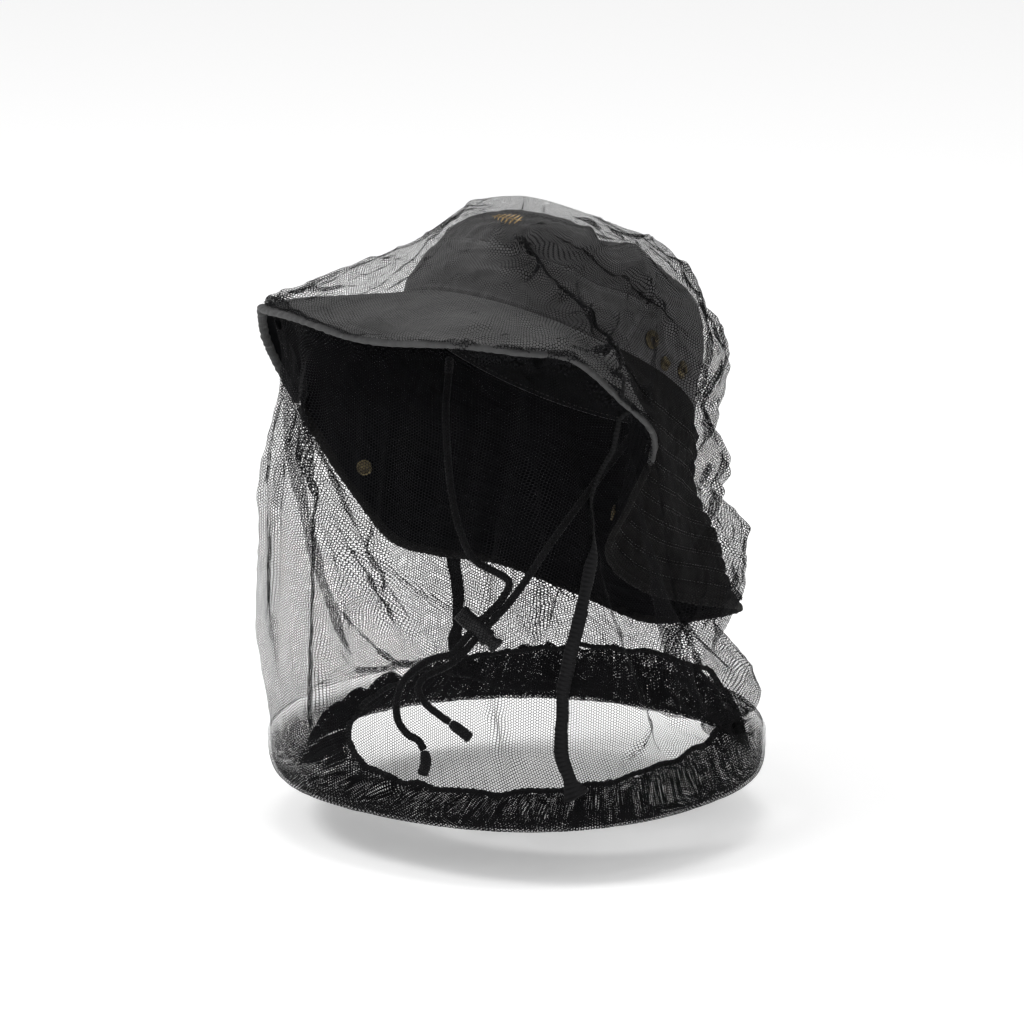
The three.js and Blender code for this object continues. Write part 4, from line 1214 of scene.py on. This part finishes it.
# ---- the veil's plain shape ----
VEIL_CENTRE_Y = -30
VEIL_HALF_WIDTH = 142
VEIL_HALF_LENGTH = 141
VEIL_FRONT_POWER = 2.4
VEIL_BACK_POWER = 2
VEIL_SEAM_ANGLE = 50
SKIRT_BOTTOM = -210
HEM_BOTTOM = -230
HEM_RADIUS = 110
HEM_CENTRE_Y = -8
HEM_CENTRE_Z = -210
HEM_SLOPE = 0.137
CAP_FRACTIONS = (0, 0.3, 0.5, 0.7, 0.85, 0.94, 1)
CAP_ANGLES = (0, 50, 72, 90, 110, 135, 180)
CAP_HEIGHTS = (
    (102, 92, 80, 68, 60, 55, 50),
    (102, 93, 80, 68, 60, 55, 49),
    (102, 94, 82, 65, 44, 25, 4),
    (102, 95, 83, 62, 34, 8, -40),
    (102, 95, 83, 59, 25, -14, -85),
    (102, 95, 82, 59, 28, -18, -115),
    (102, 95, 83, 66, 46, 4, -100),
)
SEAM_LEAN = (  # height, degrees
    (-210, 0), (-185, -4), (-150, -4), (-110, -1), (-64, 4), (-20, 10), (40, 9), (102, 4),
)
GRID_STEPS = 220  # of each column, before its points are spread evenly


def from_axis(p):
    """Across and along, from the veil's upright axis."""
    return p[..., :2] - (0, VEIL_CENTRE_Y)


def outwards(p):
    """Normals of a closed grid of net, on its outer side."""
    out = surface_normals(p, True)
    return out * np.sign((out[..., :2] * from_axis(p)).sum(-1).mean())


def outline_radius(angle):
    across = np.abs(np.sin(angle)) / VEIL_HALF_WIDTH
    along = np.abs(np.cos(angle)) / VEIL_HALF_LENGTH
    power = np.where(np.cos(angle) > 0, VEIL_FRONT_POWER, VEIL_BACK_POWER)
    return (across**power + along**power) ** (-1 / power)


def cap_heights(at):
    """The veil's heights at every fraction, for an array of degrees away from the front."""
    keys, rows = np.array(CAP_ANGLES, float), np.array(CAP_HEIGHTS, float)
    slopes = np.zeros_like(rows)
    slopes[1:-1] = (rows[2:] - rows[:-2]) / (keys[2:] - keys[:-2])[:, None]
    i = np.clip(np.searchsorted(keys, at, side="right") - 1, 0, len(keys) - 2)
    span = (keys[i + 1] - keys[i])[:, None]
    t = np.clip((at - keys[i])[:, None] / span, 0, 1)
    return hermite(t, rows[i], rows[i + 1], slopes[i], slopes[i + 1], span)


def leaning(angle, z):
    """Columns near the left seam lean with it, so that it runs to where the visor meets the flap."""
    heights, leans = np.array(SEAM_LEAN, float).T
    gap = wrapped(np.degrees(angle) - VEIL_SEAM_ANGLE)
    return angle + np.radians(np.interp(z, heights, leans) * hump(gap, 42))


def veil_grid(angles, rows):
    """The plain bell as columns at the angles (radians), each with that many rows an even step apart."""
    part = np.concatenate([np.linspace(0.025, 1, GRID_STEPS), np.ones(GRID_STEPS)])
    down = np.concatenate([np.zeros(GRID_STEPS), np.linspace(0, 1, GRID_STEPS)])
    columns = []
    for angle in angles:
        turn = np.full(2 * GRID_STEPS, angle)
        for _ in range(3):
            away = np.abs(np.degrees(np.arctan2(np.sin(turn), np.cos(turn))))
            z = np.array([np.interp(f, CAP_FRACTIONS, row) for f, row in zip(part, cap_heights(away))])
            z = lerp(z, SKIRT_BOTTOM, down)
            turn = leaning(np.full(2 * GRID_STEPS, angle), z)
        out = outline_radius(turn) * part
        line = np.stack([out * np.sin(turn), VEIL_CENTRE_Y - out * np.cos(turn), z], -1)
        far = distances(line)
        columns.append(points_at(np.linspace(0, far[-1], rows), far, line))
    return np.array(columns)


# ---- the net let fall over the hat ----
SIM_COLUMNS = 180
SIM_ROWS = 100
SIM_FRAMES = 48


def as_one_mesh(grids):
    """Points and faces of several grids; each is (points, closed, turned over)."""
    vertices, faces, total = [], [], 0
    for p, closed, turned in grids:
        quads, _ = grid_faces(*p.shape[:2], closed)
        vertices.append(p.reshape(-1, 3))
        faces.append((quads[:, ::-1] if turned else quads) + total)
        total += p.shape[0] * p.shape[1]
    return np.concatenate(vertices), np.concatenate(faces)


def thinned(p, step, closed=False):
    """Every so many rows of a grid, always with its last one."""
    rows = p[::step]
    return rows if closed or (len(p) - 1) % step == 0 else np.concatenate([rows, p[-1:]])


def hat_collider():
    """The finished hat, thinned out, as one mesh for the net to fall on."""
    grids = []
    for outer, closed, step_u, step_v in HAT_SURFACES:
        rows = thinned(np.swapaxes(thinned(outer, step_u, closed), 0, 1), step_v)
        grids.append((np.swapaxes(rows, 0, 1), closed, closed))
    return new_object("hat_collider", *as_one_mesh(grids), [])


def bag_rest(p, angles):
    """The bag as it was sewn: wider than its place, and longer at the back, so that it falls in folds."""
    flat = from_axis(p)
    wide = 1.075 + 0.03 * np.cos(3 * angles[:, None] + 1)
    degrees = np.degrees(np.arctan2(np.sin(angles), np.cos(angles)))
    tall = lerp(1.035, 1.17, smoothstep(np.abs(degrees - 8), 62, 105)[:, None])
    rest = p.copy()
    rest[..., :2] = (0, VEIL_CENTRE_Y) + flat * wide[..., None]
    rest[..., 2] = SKIRT_BOTTOM + (p[..., 2] - SKIRT_BOTTOM) * tall
    fluted = hump(np.linalg.norm(flat, axis=-1) / VEIL_HALF_WIDTH - 0.45, 0.4)
    rest[..., 2] += np.cos(22 * angles)[:, None] * 5 * fluted
    return rest


def draped_net():
    """The net bag let fall over the hat, as a grid (columns, rows) in millimetres."""
    angles = np.linspace(0, 2 * math.pi, SIM_COLUMNS, endpoint=False) + math.radians(VEIL_SEAM_ANGLE)
    start = veil_grid(angles, SIM_ROWS)
    loose = smoothstep(np.linspace(1, 0, SIM_ROWS), 0.0, 0.12)[None, :, None]
    start = start + outwards(start) * (2.2 * ripple(start * (1, 1, 0.3), 30, 101)[..., None] + 1.5) * loose
    start[..., 2] += 9 * smoothstep(start[..., 2], -120, 30)
    start[..., :2] += from_axis(start) * 0.03 * smoothstep(start[..., 2:], -200, -100)
    quads, _ = grid_faces(SIM_COLUMNS, SIM_ROWS, True)
    bag = new_object("net_bag", start.reshape(-1, 3), quads, [])
    bag.shape_key_add(name="Basis")
    rest = bag.shape_key_add(name="sewn")
    rest.data.foreach_set("co", (bag_rest(start, angles).reshape(-1, 3) * MM).astype(np.float32).ravel())
    rest.value = 0
    numbers = np.arange(SIM_COLUMNS * SIM_ROWS).reshape(SIM_COLUMNS, SIM_ROWS)
    bag.vertex_groups.new(name="held").add(numbers[:, -2:].ravel().tolist(), 1.0, "REPLACE")
    collider = hat_collider()
    collider.modifiers.new("Collision", "COLLISION")
    set_all(collider.collision, thickness_outer=0.0022, cloth_friction=12)
    cloth = bag.modifiers.new("Cloth", "CLOTH")
    set_all(
        cloth.settings, quality=9, mass=0.15, tension_stiffness=9, compression_stiffness=6,
        shear_stiffness=1.0, bending_stiffness=0.03, air_damping=2.0, vertex_group_mass="held",
        pin_stiffness=1, rest_shape_key=rest,
    )
    cloth.settings.effector_weights.gravity = 0.5
    set_all(cloth.collision_settings, collision_quality=3, distance_min=0.0018, use_self_collision=False)
    set_all(cloth.point_cache, frame_start=1, frame_end=SIM_FRAMES)
    set_all(scene, frame_start=1, frame_end=SIM_FRAMES)
    for number in range(1, SIM_FRAMES + 1):
        scene.frame_set(number)
    fallen = bag.evaluated_get(bpy.context.evaluated_depsgraph_get()).data
    co = np.empty(len(fallen.vertices) * 3, np.float32)
    fallen.vertices.foreach_get("co", co)
    scene.frame_set(1)
    bpy.data.objects.remove(bag)
    bpy.data.objects.remove(collider)
    return co.reshape(SIM_COLUMNS, SIM_ROWS, 3).astype(float) / MM


# ---- the fallen net's finer shape ----
FINER = 3  # times as many columns and rows as the simulation
FOLD_DEPTH = 1.4
WIDE_FOLD = 12
NET_PEAK = (-16, -12)  # where the net stands highest off the crown
CLEARANCE = 3.5
RAY_START = 260
# Folds where the net lies doubled: (places down the fold as degrees and heights, width, overlap).
NET_FOLDS = (
    (((-24, 20), (-19, -30), (-16, -90), (-16, -150), (-18, -200)), 8.5, 1.9),
    (((-27, 14), (-22, -20), (-14, -60), (-6, -100)), 6.5, 1.5),
    (((-25, 8), (-14, -48), (-4, -78), (11, -122)), 7.5, 1.7),
    (((-31, 10), (-36, -40), (-38, -110), (-33, -170)), 5.0, 1.4),
    (((-12, -40), (4, -84), (22, -104), (33, -112)), 5.0, 1.2),
    (((41, -20), (43, -70), (41, -120)), 3.5, 1.2),
    (((33, -60), (30, -130), (35, -190)), 4.0, 1.2),
    (((80, -118), (76, -150), (70, -176), (60, -196)), 5.5, 1.5),
    (((96, -110), (88, -140), (84, -160)), 7.0, 1.6),
    (((-52, 0), (-60, -80), (-58, -160)), 6.0, 1.4),
    (((-90, -40), (-96, -110), (-92, -180)), 7.0, 1.5),
    (((-150, -90), (-158, -140), (-150, -195)), 6.0, 1.4),
    (((170, -100), (165, -150), (172, -200)), 6.0, 1.4),
    (((130, -90), (136, -150), (130, -195)), 6.0, 1.4),
    (((30, 96), (44, 82), (57, 60), (66, 34), (70, 4)), 15.0, 1.5),
    (((60, 92), (84, 74), (98, 50), (112, 20)), 8.0, 1.6),
    (((-28, 50), (-40, 66), (-58, 84)), 3.5, 1.3),
    (((-8, 54), (-22, 74), (-50, 92)), 3.0, 1.3),
    (((-46, 48), (-58, 66), (-84, 84)), 4.5, 1.4),
    (((120, 92), (132, 70), (138, 40), (140, 0)), 7.0, 1.5),
    (((-150, 90), (-140, 60), (-146, 20)), 6.0, 1.5),
)
BACK_LOOPS = (  # height and distance from the veil's axis, where the slack net sags down the back
    (84, 66), (60, 86), (34, 101), (14, 114), (0, 120), (-14, 117), (-29, 107), (-44, 112), (-60, 120),
    (-70, 117), (-80, 110), (-92, 122), (-104, 131), (-122, 130), (-137, 127), (-150, 119), (-164, 113),
    (-178, 121), (-196, 135), (-210, 141),
)


def finer(p, axis, closed):
    """A grid with FINER times as many points along an axis, on smooth curves through the old ones."""
    p = np.moveaxis(p, axis, 0)
    n = len(p)
    places = np.arange(n * FINER if closed else (n - 1) * FINER + 1) / FINER
    i = np.floor(places).astype(int)
    t = (places - i)[:, None, None]
    numbers = [(i + k) % n if closed else np.clip(i + k, 0, n - 1) for k in (-1, 0, 1, 2)]
    a, b, c, d = (p[k] for k in numbers)
    made = 0.5 * (2 * b + (c - a) * t + (2 * a - 5 * b + 4 * c - d) * t**2 + (3 * b - a - 3 * c + d) * t**3)
    return np.moveaxis(made, 0, axis)


def column_at(p, angle):
    """One column of a closed grid at an angle, counted from the first seam."""
    place = (angle - math.radians(VEIL_SEAM_ANGLE)) % (2 * math.pi) / (2 * math.pi) * len(p)
    low = int(place)
    return lerp(p[low % len(p)], p[(low + 1) % len(p)], place - low)


def averaged(p):
    """Each row with a quarter of each neighbour, round a closed grid."""
    return (np.roll(p, 1, 0) + 2 * p + np.roll(p, -1, 0)) / 4


def smoothed(values, times):
    for _ in range(times):
        values = averaged(values)
        inner = (values[:, :-2] + 2 * values[:, 1:-1] + values[:, 2:]) / 4
        values = np.concatenate([values[:, :1], inner, values[:, -1:]], 1)
    return values


def hat_tree():
    """The hat's outer surfaces, to be asked for the nearest place on them."""
    grids = [(outer[::2, ::2], closed, closed) for outer, closed, _, _ in HAT_SURFACES]
    vertices, faces = as_one_mesh(grids)
    return BVHTree.FromPolygons(vertices.tolist(), faces.tolist())


def hat_radius(tree, bearing, z, where):
    """How far out the hat reaches from the veil's axis, at those bearings and heights."""
    far = np.zeros(z.shape)
    for i, j in zip(*np.nonzero(where)):
        out = Vector((math.sin(bearing[i, j]), -math.cos(bearing[i, j]), 0))
        start = Vector((0, VEIL_CENTRE_Y, z[i, j])) + out * RAY_START
        hit, _, _, distance = tree.ray_cast(start, -out, RAY_START - 20)
        if hit is not None:
            far[i, j] = RAY_START - distance
    return far


def off_the_hat(p, tree, room):
    """Keeps the net that far outside the hat's surfaces where it lies on them."""
    flat = p.reshape(-1, 3)
    for k in np.nonzero(flat[:, 2] >= -176)[0]:
        place = Vector(flat[k])
        near, normal, _, _ = tree.find_nearest(place, 6.0)
        if near is None:
            continue
        high = (place - near).dot(normal)
        if -4.5 < high < room:
            flat[k] = np.array(place + normal * (room - high))
    return flat.reshape(p.shape)


def hung(p, tree):
    """Tucks the fallen net in along the visor's right edge, and lets it sag in loops down the back."""
    flat = from_axis(p)
    radius = np.linalg.norm(flat, axis=-1)
    bearing = np.arctan2(flat[..., 0], -flat[..., 1])
    degrees, z = np.degrees(bearing), p[..., 2]
    beside = smoothstep(degrees, -88, -62) * (1 - smoothstep(degrees, -34, -18))
    tuck = 9 * hump(degrees + 52, 34) * smoothstep(-z, 130, 205) + 12 * hump(z - 6, 42) * beside
    loops = np.array(BACK_LOOPS, float)[::-1]
    shift = 13 * np.sin(2 * bearing - 0.9) + 8 * ripple(p * (1, 1, 0.3), 60, 151)
    sag = np.interp(z + shift, loops[:, 0], loops[:, 1]) * outline_radius(bearing) / VEIL_HALF_LENGTH
    own = radius - smoothed(radius, 12)
    turned = degrees % 360
    back = smoothstep(turned, 84, 108) * (1 - smoothstep(turned, 232, 262))
    back = back * smoothstep(z, -209, -192) * (1 - smoothstep(z, 52, 92))
    clear = hat_radius(tree, bearing, z, back > 0.02) + CLEARANCE + np.clip(own, 0, 6)
    wanted = lerp(radius - tuck, np.maximum(sag + own, clear), back)
    moved = p.copy()
    moved[..., :2] = (0, VEIL_CENTRE_Y) + flat * (wanted / np.maximum(radius, 1))[..., None]
    round_the_pole(moved)
    peak = hump(np.linalg.norm(moved[..., :2] - NET_PEAK, axis=-1), 27)
    moved[..., 2] += 8.5 * peak * smoothstep(moved[..., 2], 50, 80)
    return moved, back


def round_the_pole(p):
    """Evens out the columns where they meet, on top of the crown."""
    crown = int(p.shape[1] * 0.1)
    share = (np.arange(crown) / crown)[None, :, None]
    disc = p[:, crown:crown + 1] * (1, 1, 0)
    middle = disc.mean(0, keepdims=True)
    disc = middle + (disc - middle) * (0.03 + 0.97 * share)
    edge = p[:, crown:crown + 1, 2]
    disc[..., 2] = lerp(edge.mean() + 7.0, edge, share[..., 0] ** 2)
    p[:, :crown] = lerp(disc, p[:, :crown], smoothstep(share, 0.75, 1.0))


def folded(p):
    """Lays the folds in the net: across each one the cloth doubles back over itself.
    Returns the grid and how bunched the cloth is there."""
    flat = from_axis(p)
    degrees = np.degrees(np.arctan2(flat[..., 0], -flat[..., 1]))
    reach = np.linalg.norm(flat, axis=-1) * math.pi / 180
    across = outwards(p)
    way = unit(np.roll(p, -2, 0) - np.roll(p, 2, 0))
    wobble = 1 + 0.25 * ripple(p * (1, 1, 0.5), 40, 120)
    z = p[..., 2]
    bunched = np.zeros(z.shape)
    moved = p.copy()
    for path, width, overlap in NET_FOLDS:
        spots = np.array(path, float)[::-1]
        distance = wrapped(degrees - np.interp(z, spots[:, 1], spots[:, 0])) * reach
        low, high = spots[0, 1], spots[-1, 1]
        ends = smoothstep(z, low - 12, low + 14) * (1 - smoothstep(z, high - 6, high + 8))
        bell = hump(distance, width * wobble) * (ends * smoothstep(reach, 0.35, 0.7))
        moved -= way * (distance * overlap * bell)[..., None]
        moved += across * (FOLD_DEPTH * bell)[..., None]
        bunched = np.maximum(bunched, (0.17 if width < WIDE_FOLD else 0.36) * bell)
    return moved, bunched


def bunching(p):
    """How tightly the net is crumpled, from the turn between neighbouring normals."""
    normal = surface_normals(p, True)
    turn = np.zeros(p.shape[:2])
    for axis in (0, 1):
        step, bend = (
            np.linalg.norm(np.roll(g, -1, axis) - np.roll(g, 1, axis), axis=-1) for g in (p, normal)
        )
        turn = np.maximum(turn, bend / np.maximum(step, 0.8))
    turn[:, 0] = turn[:, 1]
    turn[:, -1] = turn[:, -2]
    for _ in range(2):
        turn[:, 1:-1] = (turn[:, :-2] + 2 * turn[:, 1:-1] + turn[:, 2:]) / 4
        turn = averaged(turn)
    return turn


def veil_net():
    """The two panels of net. Returns the whole net's grid and the panels."""
    net = finer(finer(draped_net(), 0, True), 1, False)
    half, rows = len(net) // 2, net.shape[1]
    angles = np.linspace(0, 2 * math.pi, len(net), endpoint=False) + math.radians(VEIL_SEAM_ANGLE)
    down = np.linspace(0, 1, rows)[None]
    loose = smoothstep(np.linspace(1, 0, rows), 0.0, 0.05)[None] * smoothstep(down, 0.02, 0.1)
    out = outwards(net)
    ridge = crease(net * (1, 1, 0.45), 34, 111)
    crumple = 1.5 * (ridge - 0.3) + 0.8 * (crease(net * (0.6, 0.6, 1), 18, 112) - 0.3)
    tree = hat_tree()
    net, back = hung(net, tree)
    rough = 1 + 1.3 * back + 0.9 * smoothstep(net[..., 2], 40, 70)
    net = off_the_hat(net + out * (crumple * rough * loose)[..., None], tree, 1.6)
    tip = hump(np.linalg.norm(net - brim_point(np.array(0.0), np.array(1.0)), axis=-1), 46)[..., None]
    net = lerp(net, off_the_hat(smoothed(net, 9), tree, 1.8), np.clip(1.6 * tip, 0, 1))
    net, bunched = folded(smoothed(net, 1))
    z = net[..., 2]
    turned = np.degrees(np.arctan2(net[..., 0], VEIL_CENTRE_Y - net[..., 1]))
    ridges = smoothstep(ridge, 0.62, 0.95) + smoothstep(crease(net * (1, 1, 0.7), 22, 114), 0.7, 0.98)
    bare = smoothstep(z, 20, 60) * 0.8 * (1 - 0.9 * hump(turned - 22, 30))
    slack = (0.24 * np.clip(ridges, 0, 1.2) * np.clip(back + bare, 0, 1) + 0.12 * back) * loose
    gather = np.clip(bunched + slack + 0.28 * np.clip(bunching(net) - 0.12, 0, 0.5), 0, 0.5)
    pleats = crease(pairs(angles[:, None] * VEIL_HALF_WIDTH, z * 0.15), 17, 113)
    hem_gather = 0.16 * smoothstep(down, 0.9, 1.0) * (0.6 + 0.8 * pleats)
    plain = smoothstep(z, -8, 18) * hump(turned - 8, 46)
    gather = np.clip(gather + hem_gather, 0, 0.45) - 0.13 * plain
    column = 2 * math.pi * 153 / len(net) * MM
    row = 0.0044 / FINER * 1.04
    uv = pairs((np.arange(half + 1) * column)[:, None], (np.arange(rows) * row)[None]).reshape(-1, 2)
    quads, _ = grid_faces(half + 1, rows, False)
    panels = []
    for name, first in (("veil_rear_panel", 0), ("veil_front_panel", half)):
        picks = np.arange(first, first + half + 1) % len(net)
        piece = new_object(
            name + "_net", net[picks].reshape(-1, 3), quads, [NET], uv=uv[quads].reshape(-1, 2),
            values={"gather": gather[picks].ravel()},
        )
        panels.append(dressed(piece, "veil", "net", name))
    return net, *panels


# ---- the veil's seams and hem ----
TAPE_HALF_WIDTH = 3.7
TAPE_STEP = 0.8
TAPE_FIBRES = 900
HEM_COLUMNS = 900
HEM_ROWS = 44
HEM_CLOTH = 1.8
ELASTIC_WAVES = 150
ELASTIC_SIDES = 16


def seam_tape(name, net, angle, seed):
    """A fuzzy bound seam down the net, from the crown's side over the brim to the hem."""
    line, out = column_at(net, angle), column_at(outwards(net), angle)
    for _ in range(5):
        for p in (line, out):
            p[1:-1] = (p[:-2] + 2 * p[1:-1] + p[2:]) / 4
    first = int(len(line) * 0.2)
    out = unit(out[first:])
    line = line[first:] + out * 1.0
    far = distances(line)
    fine = evenly(line, TAPE_STEP)
    count, sides = len(fine), 22
    places = np.linspace(0, far[-1], count)
    way, side, other = frames_facing(fine, unit(points_at(places, far, out)))
    turn = circle(sides)[None]
    wide = lerp(1.0, 0.32, smoothstep(fine[:, 2], -80, -54))[:, None]
    flare = 1 + 0.9 * smoothstep(places / far[-1], 0.965, 1.0)[:, None]
    fuzz = 0.1 * ripple(pairs(places[:, None], turn * 3.2), 1.5, 131)
    wander = 0.1 * ripple(np.stack([places, places * 0], -1), 30, 132)[:, None]
    radius = (1 + fuzz + wander) * rounded_ends(count, 1.4, TAPE_STEP)[:, None] * wide * flare
    tape = swept(f"veil_seam_{name}_tape", fine, radius, sides, TAPE, axes=(way, side, other),
                 profile=(TAPE_HALF_WIDTH, 1.0))
    dressed(tape, "veil", "tape", f"veil_seam_{name}")
    draw = np.random.default_rng(seed)
    corners = circle(3)[:, None]
    thickness = np.array((0.11, 0.09, 0.03))[:, None, None]
    tubes = []
    for k in draw.integers(4, count - 2, TAPE_FIBRES):
        a = draw.uniform(0, 2 * math.pi)
        edge = math.copysign(abs(math.cos(a)) ** 0.4, math.cos(a))
        base = fine[k] + side[k] * edge * (TAPE_HALF_WIDTH - 0.2) * wide[k] + other[k] * math.sin(a) * 0.9
        lean = unit(side[k] * edge + other[k] * draw.normal(0, 0.8) + way[k] * draw.normal(0, 0.9))
        curl = unit(draw.normal(size=3))
        long = draw.uniform(0.8, 2.6)
        points = np.array([base, base + lean * long * 0.5 + curl * 0.15, base + lean * long + curl * 0.7])
        _, one, two = frames_along(points)
        around = one[:, None] * np.cos(corners) + two[:, None] * np.sin(corners)
        tubes.append(points[:, None] + around * thickness)
    fibres = dressed(little_tubes(f"veil_seam_{name}_fibres", tubes, TAPE), "veil", "tape")
    return [tape, fibres]


def hem_ring(angle):
    y = HEM_CENTRE_Y - HEM_RADIUS * np.cos(angle)
    return np.stack([HEM_RADIUS * np.sin(angle), y, HEM_CENTRE_Z + (y - HEM_CENTRE_Y) * HEM_SLOPE], -1)


def hem(net):
    """The doubled hem: it rolls under from the net's bottom edge and is gathered in to the elastic."""
    angle = circle(HEM_COLUMNS)
    a, v = np.meshgrid(angle, np.linspace(0, 1, HEM_ROWS), indexing="ij")
    edge = from_axis(net[:, -1])
    bearing = np.arctan2(edge[:, 0], -edge[:, 1]) % (2 * math.pi)
    order = np.argsort(bearing)
    radius = np.interp(a, bearing[order], np.linalg.norm(edge, axis=1)[order], period=2 * math.pi)
    start = pairs(radius * np.sin(a), VEIL_CENTRE_Y - radius * np.cos(a), float(SKIRT_BOTTOM))
    ring = hem_ring(a)
    inward = (ring - start) * (1, 1, 0)
    fall = np.clip(v / 0.4, 0, 1)
    reach = lerp(0.24 * (1 - np.sqrt(1 - 0.98 * fall**2)), 1, np.clip((v - 0.3) / 0.7, 0, 1) ** 1.2)
    p = start + inward * reach[..., None]
    bottom = SKIRT_BOTTOM + (HEM_BOTTOM - SKIRT_BOTTOM) * np.sin(fall * math.pi / 2)
    p[..., 2] = lerp(bottom, ring[..., 2], smoothstep(v, 0.36, 1))
    along = a * 126
    flute = ripple(pairs(along, v * 4), 9.5, 141) + 0.8 * ripple(pairs(along, v * 9), 21, 142)
    left = hump(wrapped(np.degrees(a)) + 92, 46)
    depth = lerp(0.15, 1.9, smoothstep(v, 0.35, 0.85)) * (1 - 0.55 * smoothstep(v, 0.86, 1))
    depth = depth * (1 + 1.8 * left * smoothstep(v, 0.3, 0.7))
    p[..., 2] += flute * depth * smoothstep(v, 0.1, 0.5)
    crush = ripple(pairs(along, v * 7), 14, 143) * depth * 0.7 * np.sin(math.pi * v) ** 0.6
    p += unit(inward) * crush[..., None]
    gather = lerp(-0.2, 0.36, smoothstep(v, 0, 0.28)) + 0.42 * smoothstep(v, 0.26, 0.55)
    gather = gather + 0.22 * crease(pairs(along, v * 3), 12, 144) * smoothstep(v, 0.1, 0.4)
    casing = shell("hem_casing_net", p, HEM_CLOTH, [HEM_NET], closed=True, values={"gather": gather.ravel()})
    return dressed(casing, "veil", "net", "hem_casing")


def hem_elastic():
    """The round elastic at the hem's inner edge, a tube closed both ways."""
    angle, turn = circle(HEM_COLUMNS), circle(ELASTIC_SIDES)[None]
    line = hem_ring(angle)
    line[:, 2] += 1.1 * ripple(np.stack([np.cos(angle), np.sin(angle)], -1) * 110, 26, 145)
    wide = 1.8 + 0.25 * np.sin(angle * ELASTIC_WAVES)[:, None] + 0.12 * np.sin(turn * 5)
    out = unit(line * (1, 1, 0) - (0, HEM_CENTRE_Y, 0))
    tube = line[:, None] + out[:, None] * (wide * np.cos(turn))[..., None]
    tube[..., 2] += wide * 0.8 * np.sin(turn)
    u, w = np.arange(HEM_COLUMNS), np.arange(ELASTIC_SIDES)
    i, j = (g.ravel() for g in np.meshgrid(u, w, indexing="ij"))
    corners = ((i, j), (i + 1, j), (i + 1, j + 1), (i, j + 1))
    faces = np.stack([x % HEM_COLUMNS * ELASTIC_SIDES + y % ELASTIC_SIDES for x, y in corners], -1)
    long = 2 * math.pi * HEM_RADIUS / HEM_COLUMNS
    uv = np.stack([np.stack([y * 0.9, x * long], -1) for x, y in corners], 1) * MM
    made = new_object("hem_elastic_braid", tube.reshape(-1, 3), faces, [ELASTIC], uv=uv.reshape(-1, 2))
    return dressed(made, "veil", "elastic", "hem_elastic")


crown()
sweatband()
brim()
fittings()
emblem()
cord_lock()
net, rear_panel, front_panel = veil_net()
casing = hem(net)
elastic = hem_elastic()
left_tape = seam_tape("left", net, math.radians(VEIL_SEAM_ANGLE), 133)
right_tape = seam_tape("right", net, math.radians(VEIL_SEAM_ANGLE - 180), 134)

# ---- the floor ----
FLOOR_Z = -0.262
FLOOR_HALF = 40
corners = [(x * FLOOR_HALF, y * FLOOR_HALF, FLOOR_Z) for x, y in ((-1, -1), (1, -1), (1, 1), (-1, 1))]
floor_mesh = bpy.data.meshes.new("floor")
floor_mesh.from_pydata(corners, [], [(0, 1, 2, 3)])
floor_paint = Nodes("floor_pale", (0.92, 0.92, 0.92), 0.9)
floor_paint.set("Emission Color", (1, 1, 1, 1))
floor_paint.set("Emission Strength", 0.3)
floor_mesh.materials.append(floor_paint.material)
floor = bpy.data.objects.new("floor", floor_mesh)
scene.collection.objects.link(floor)
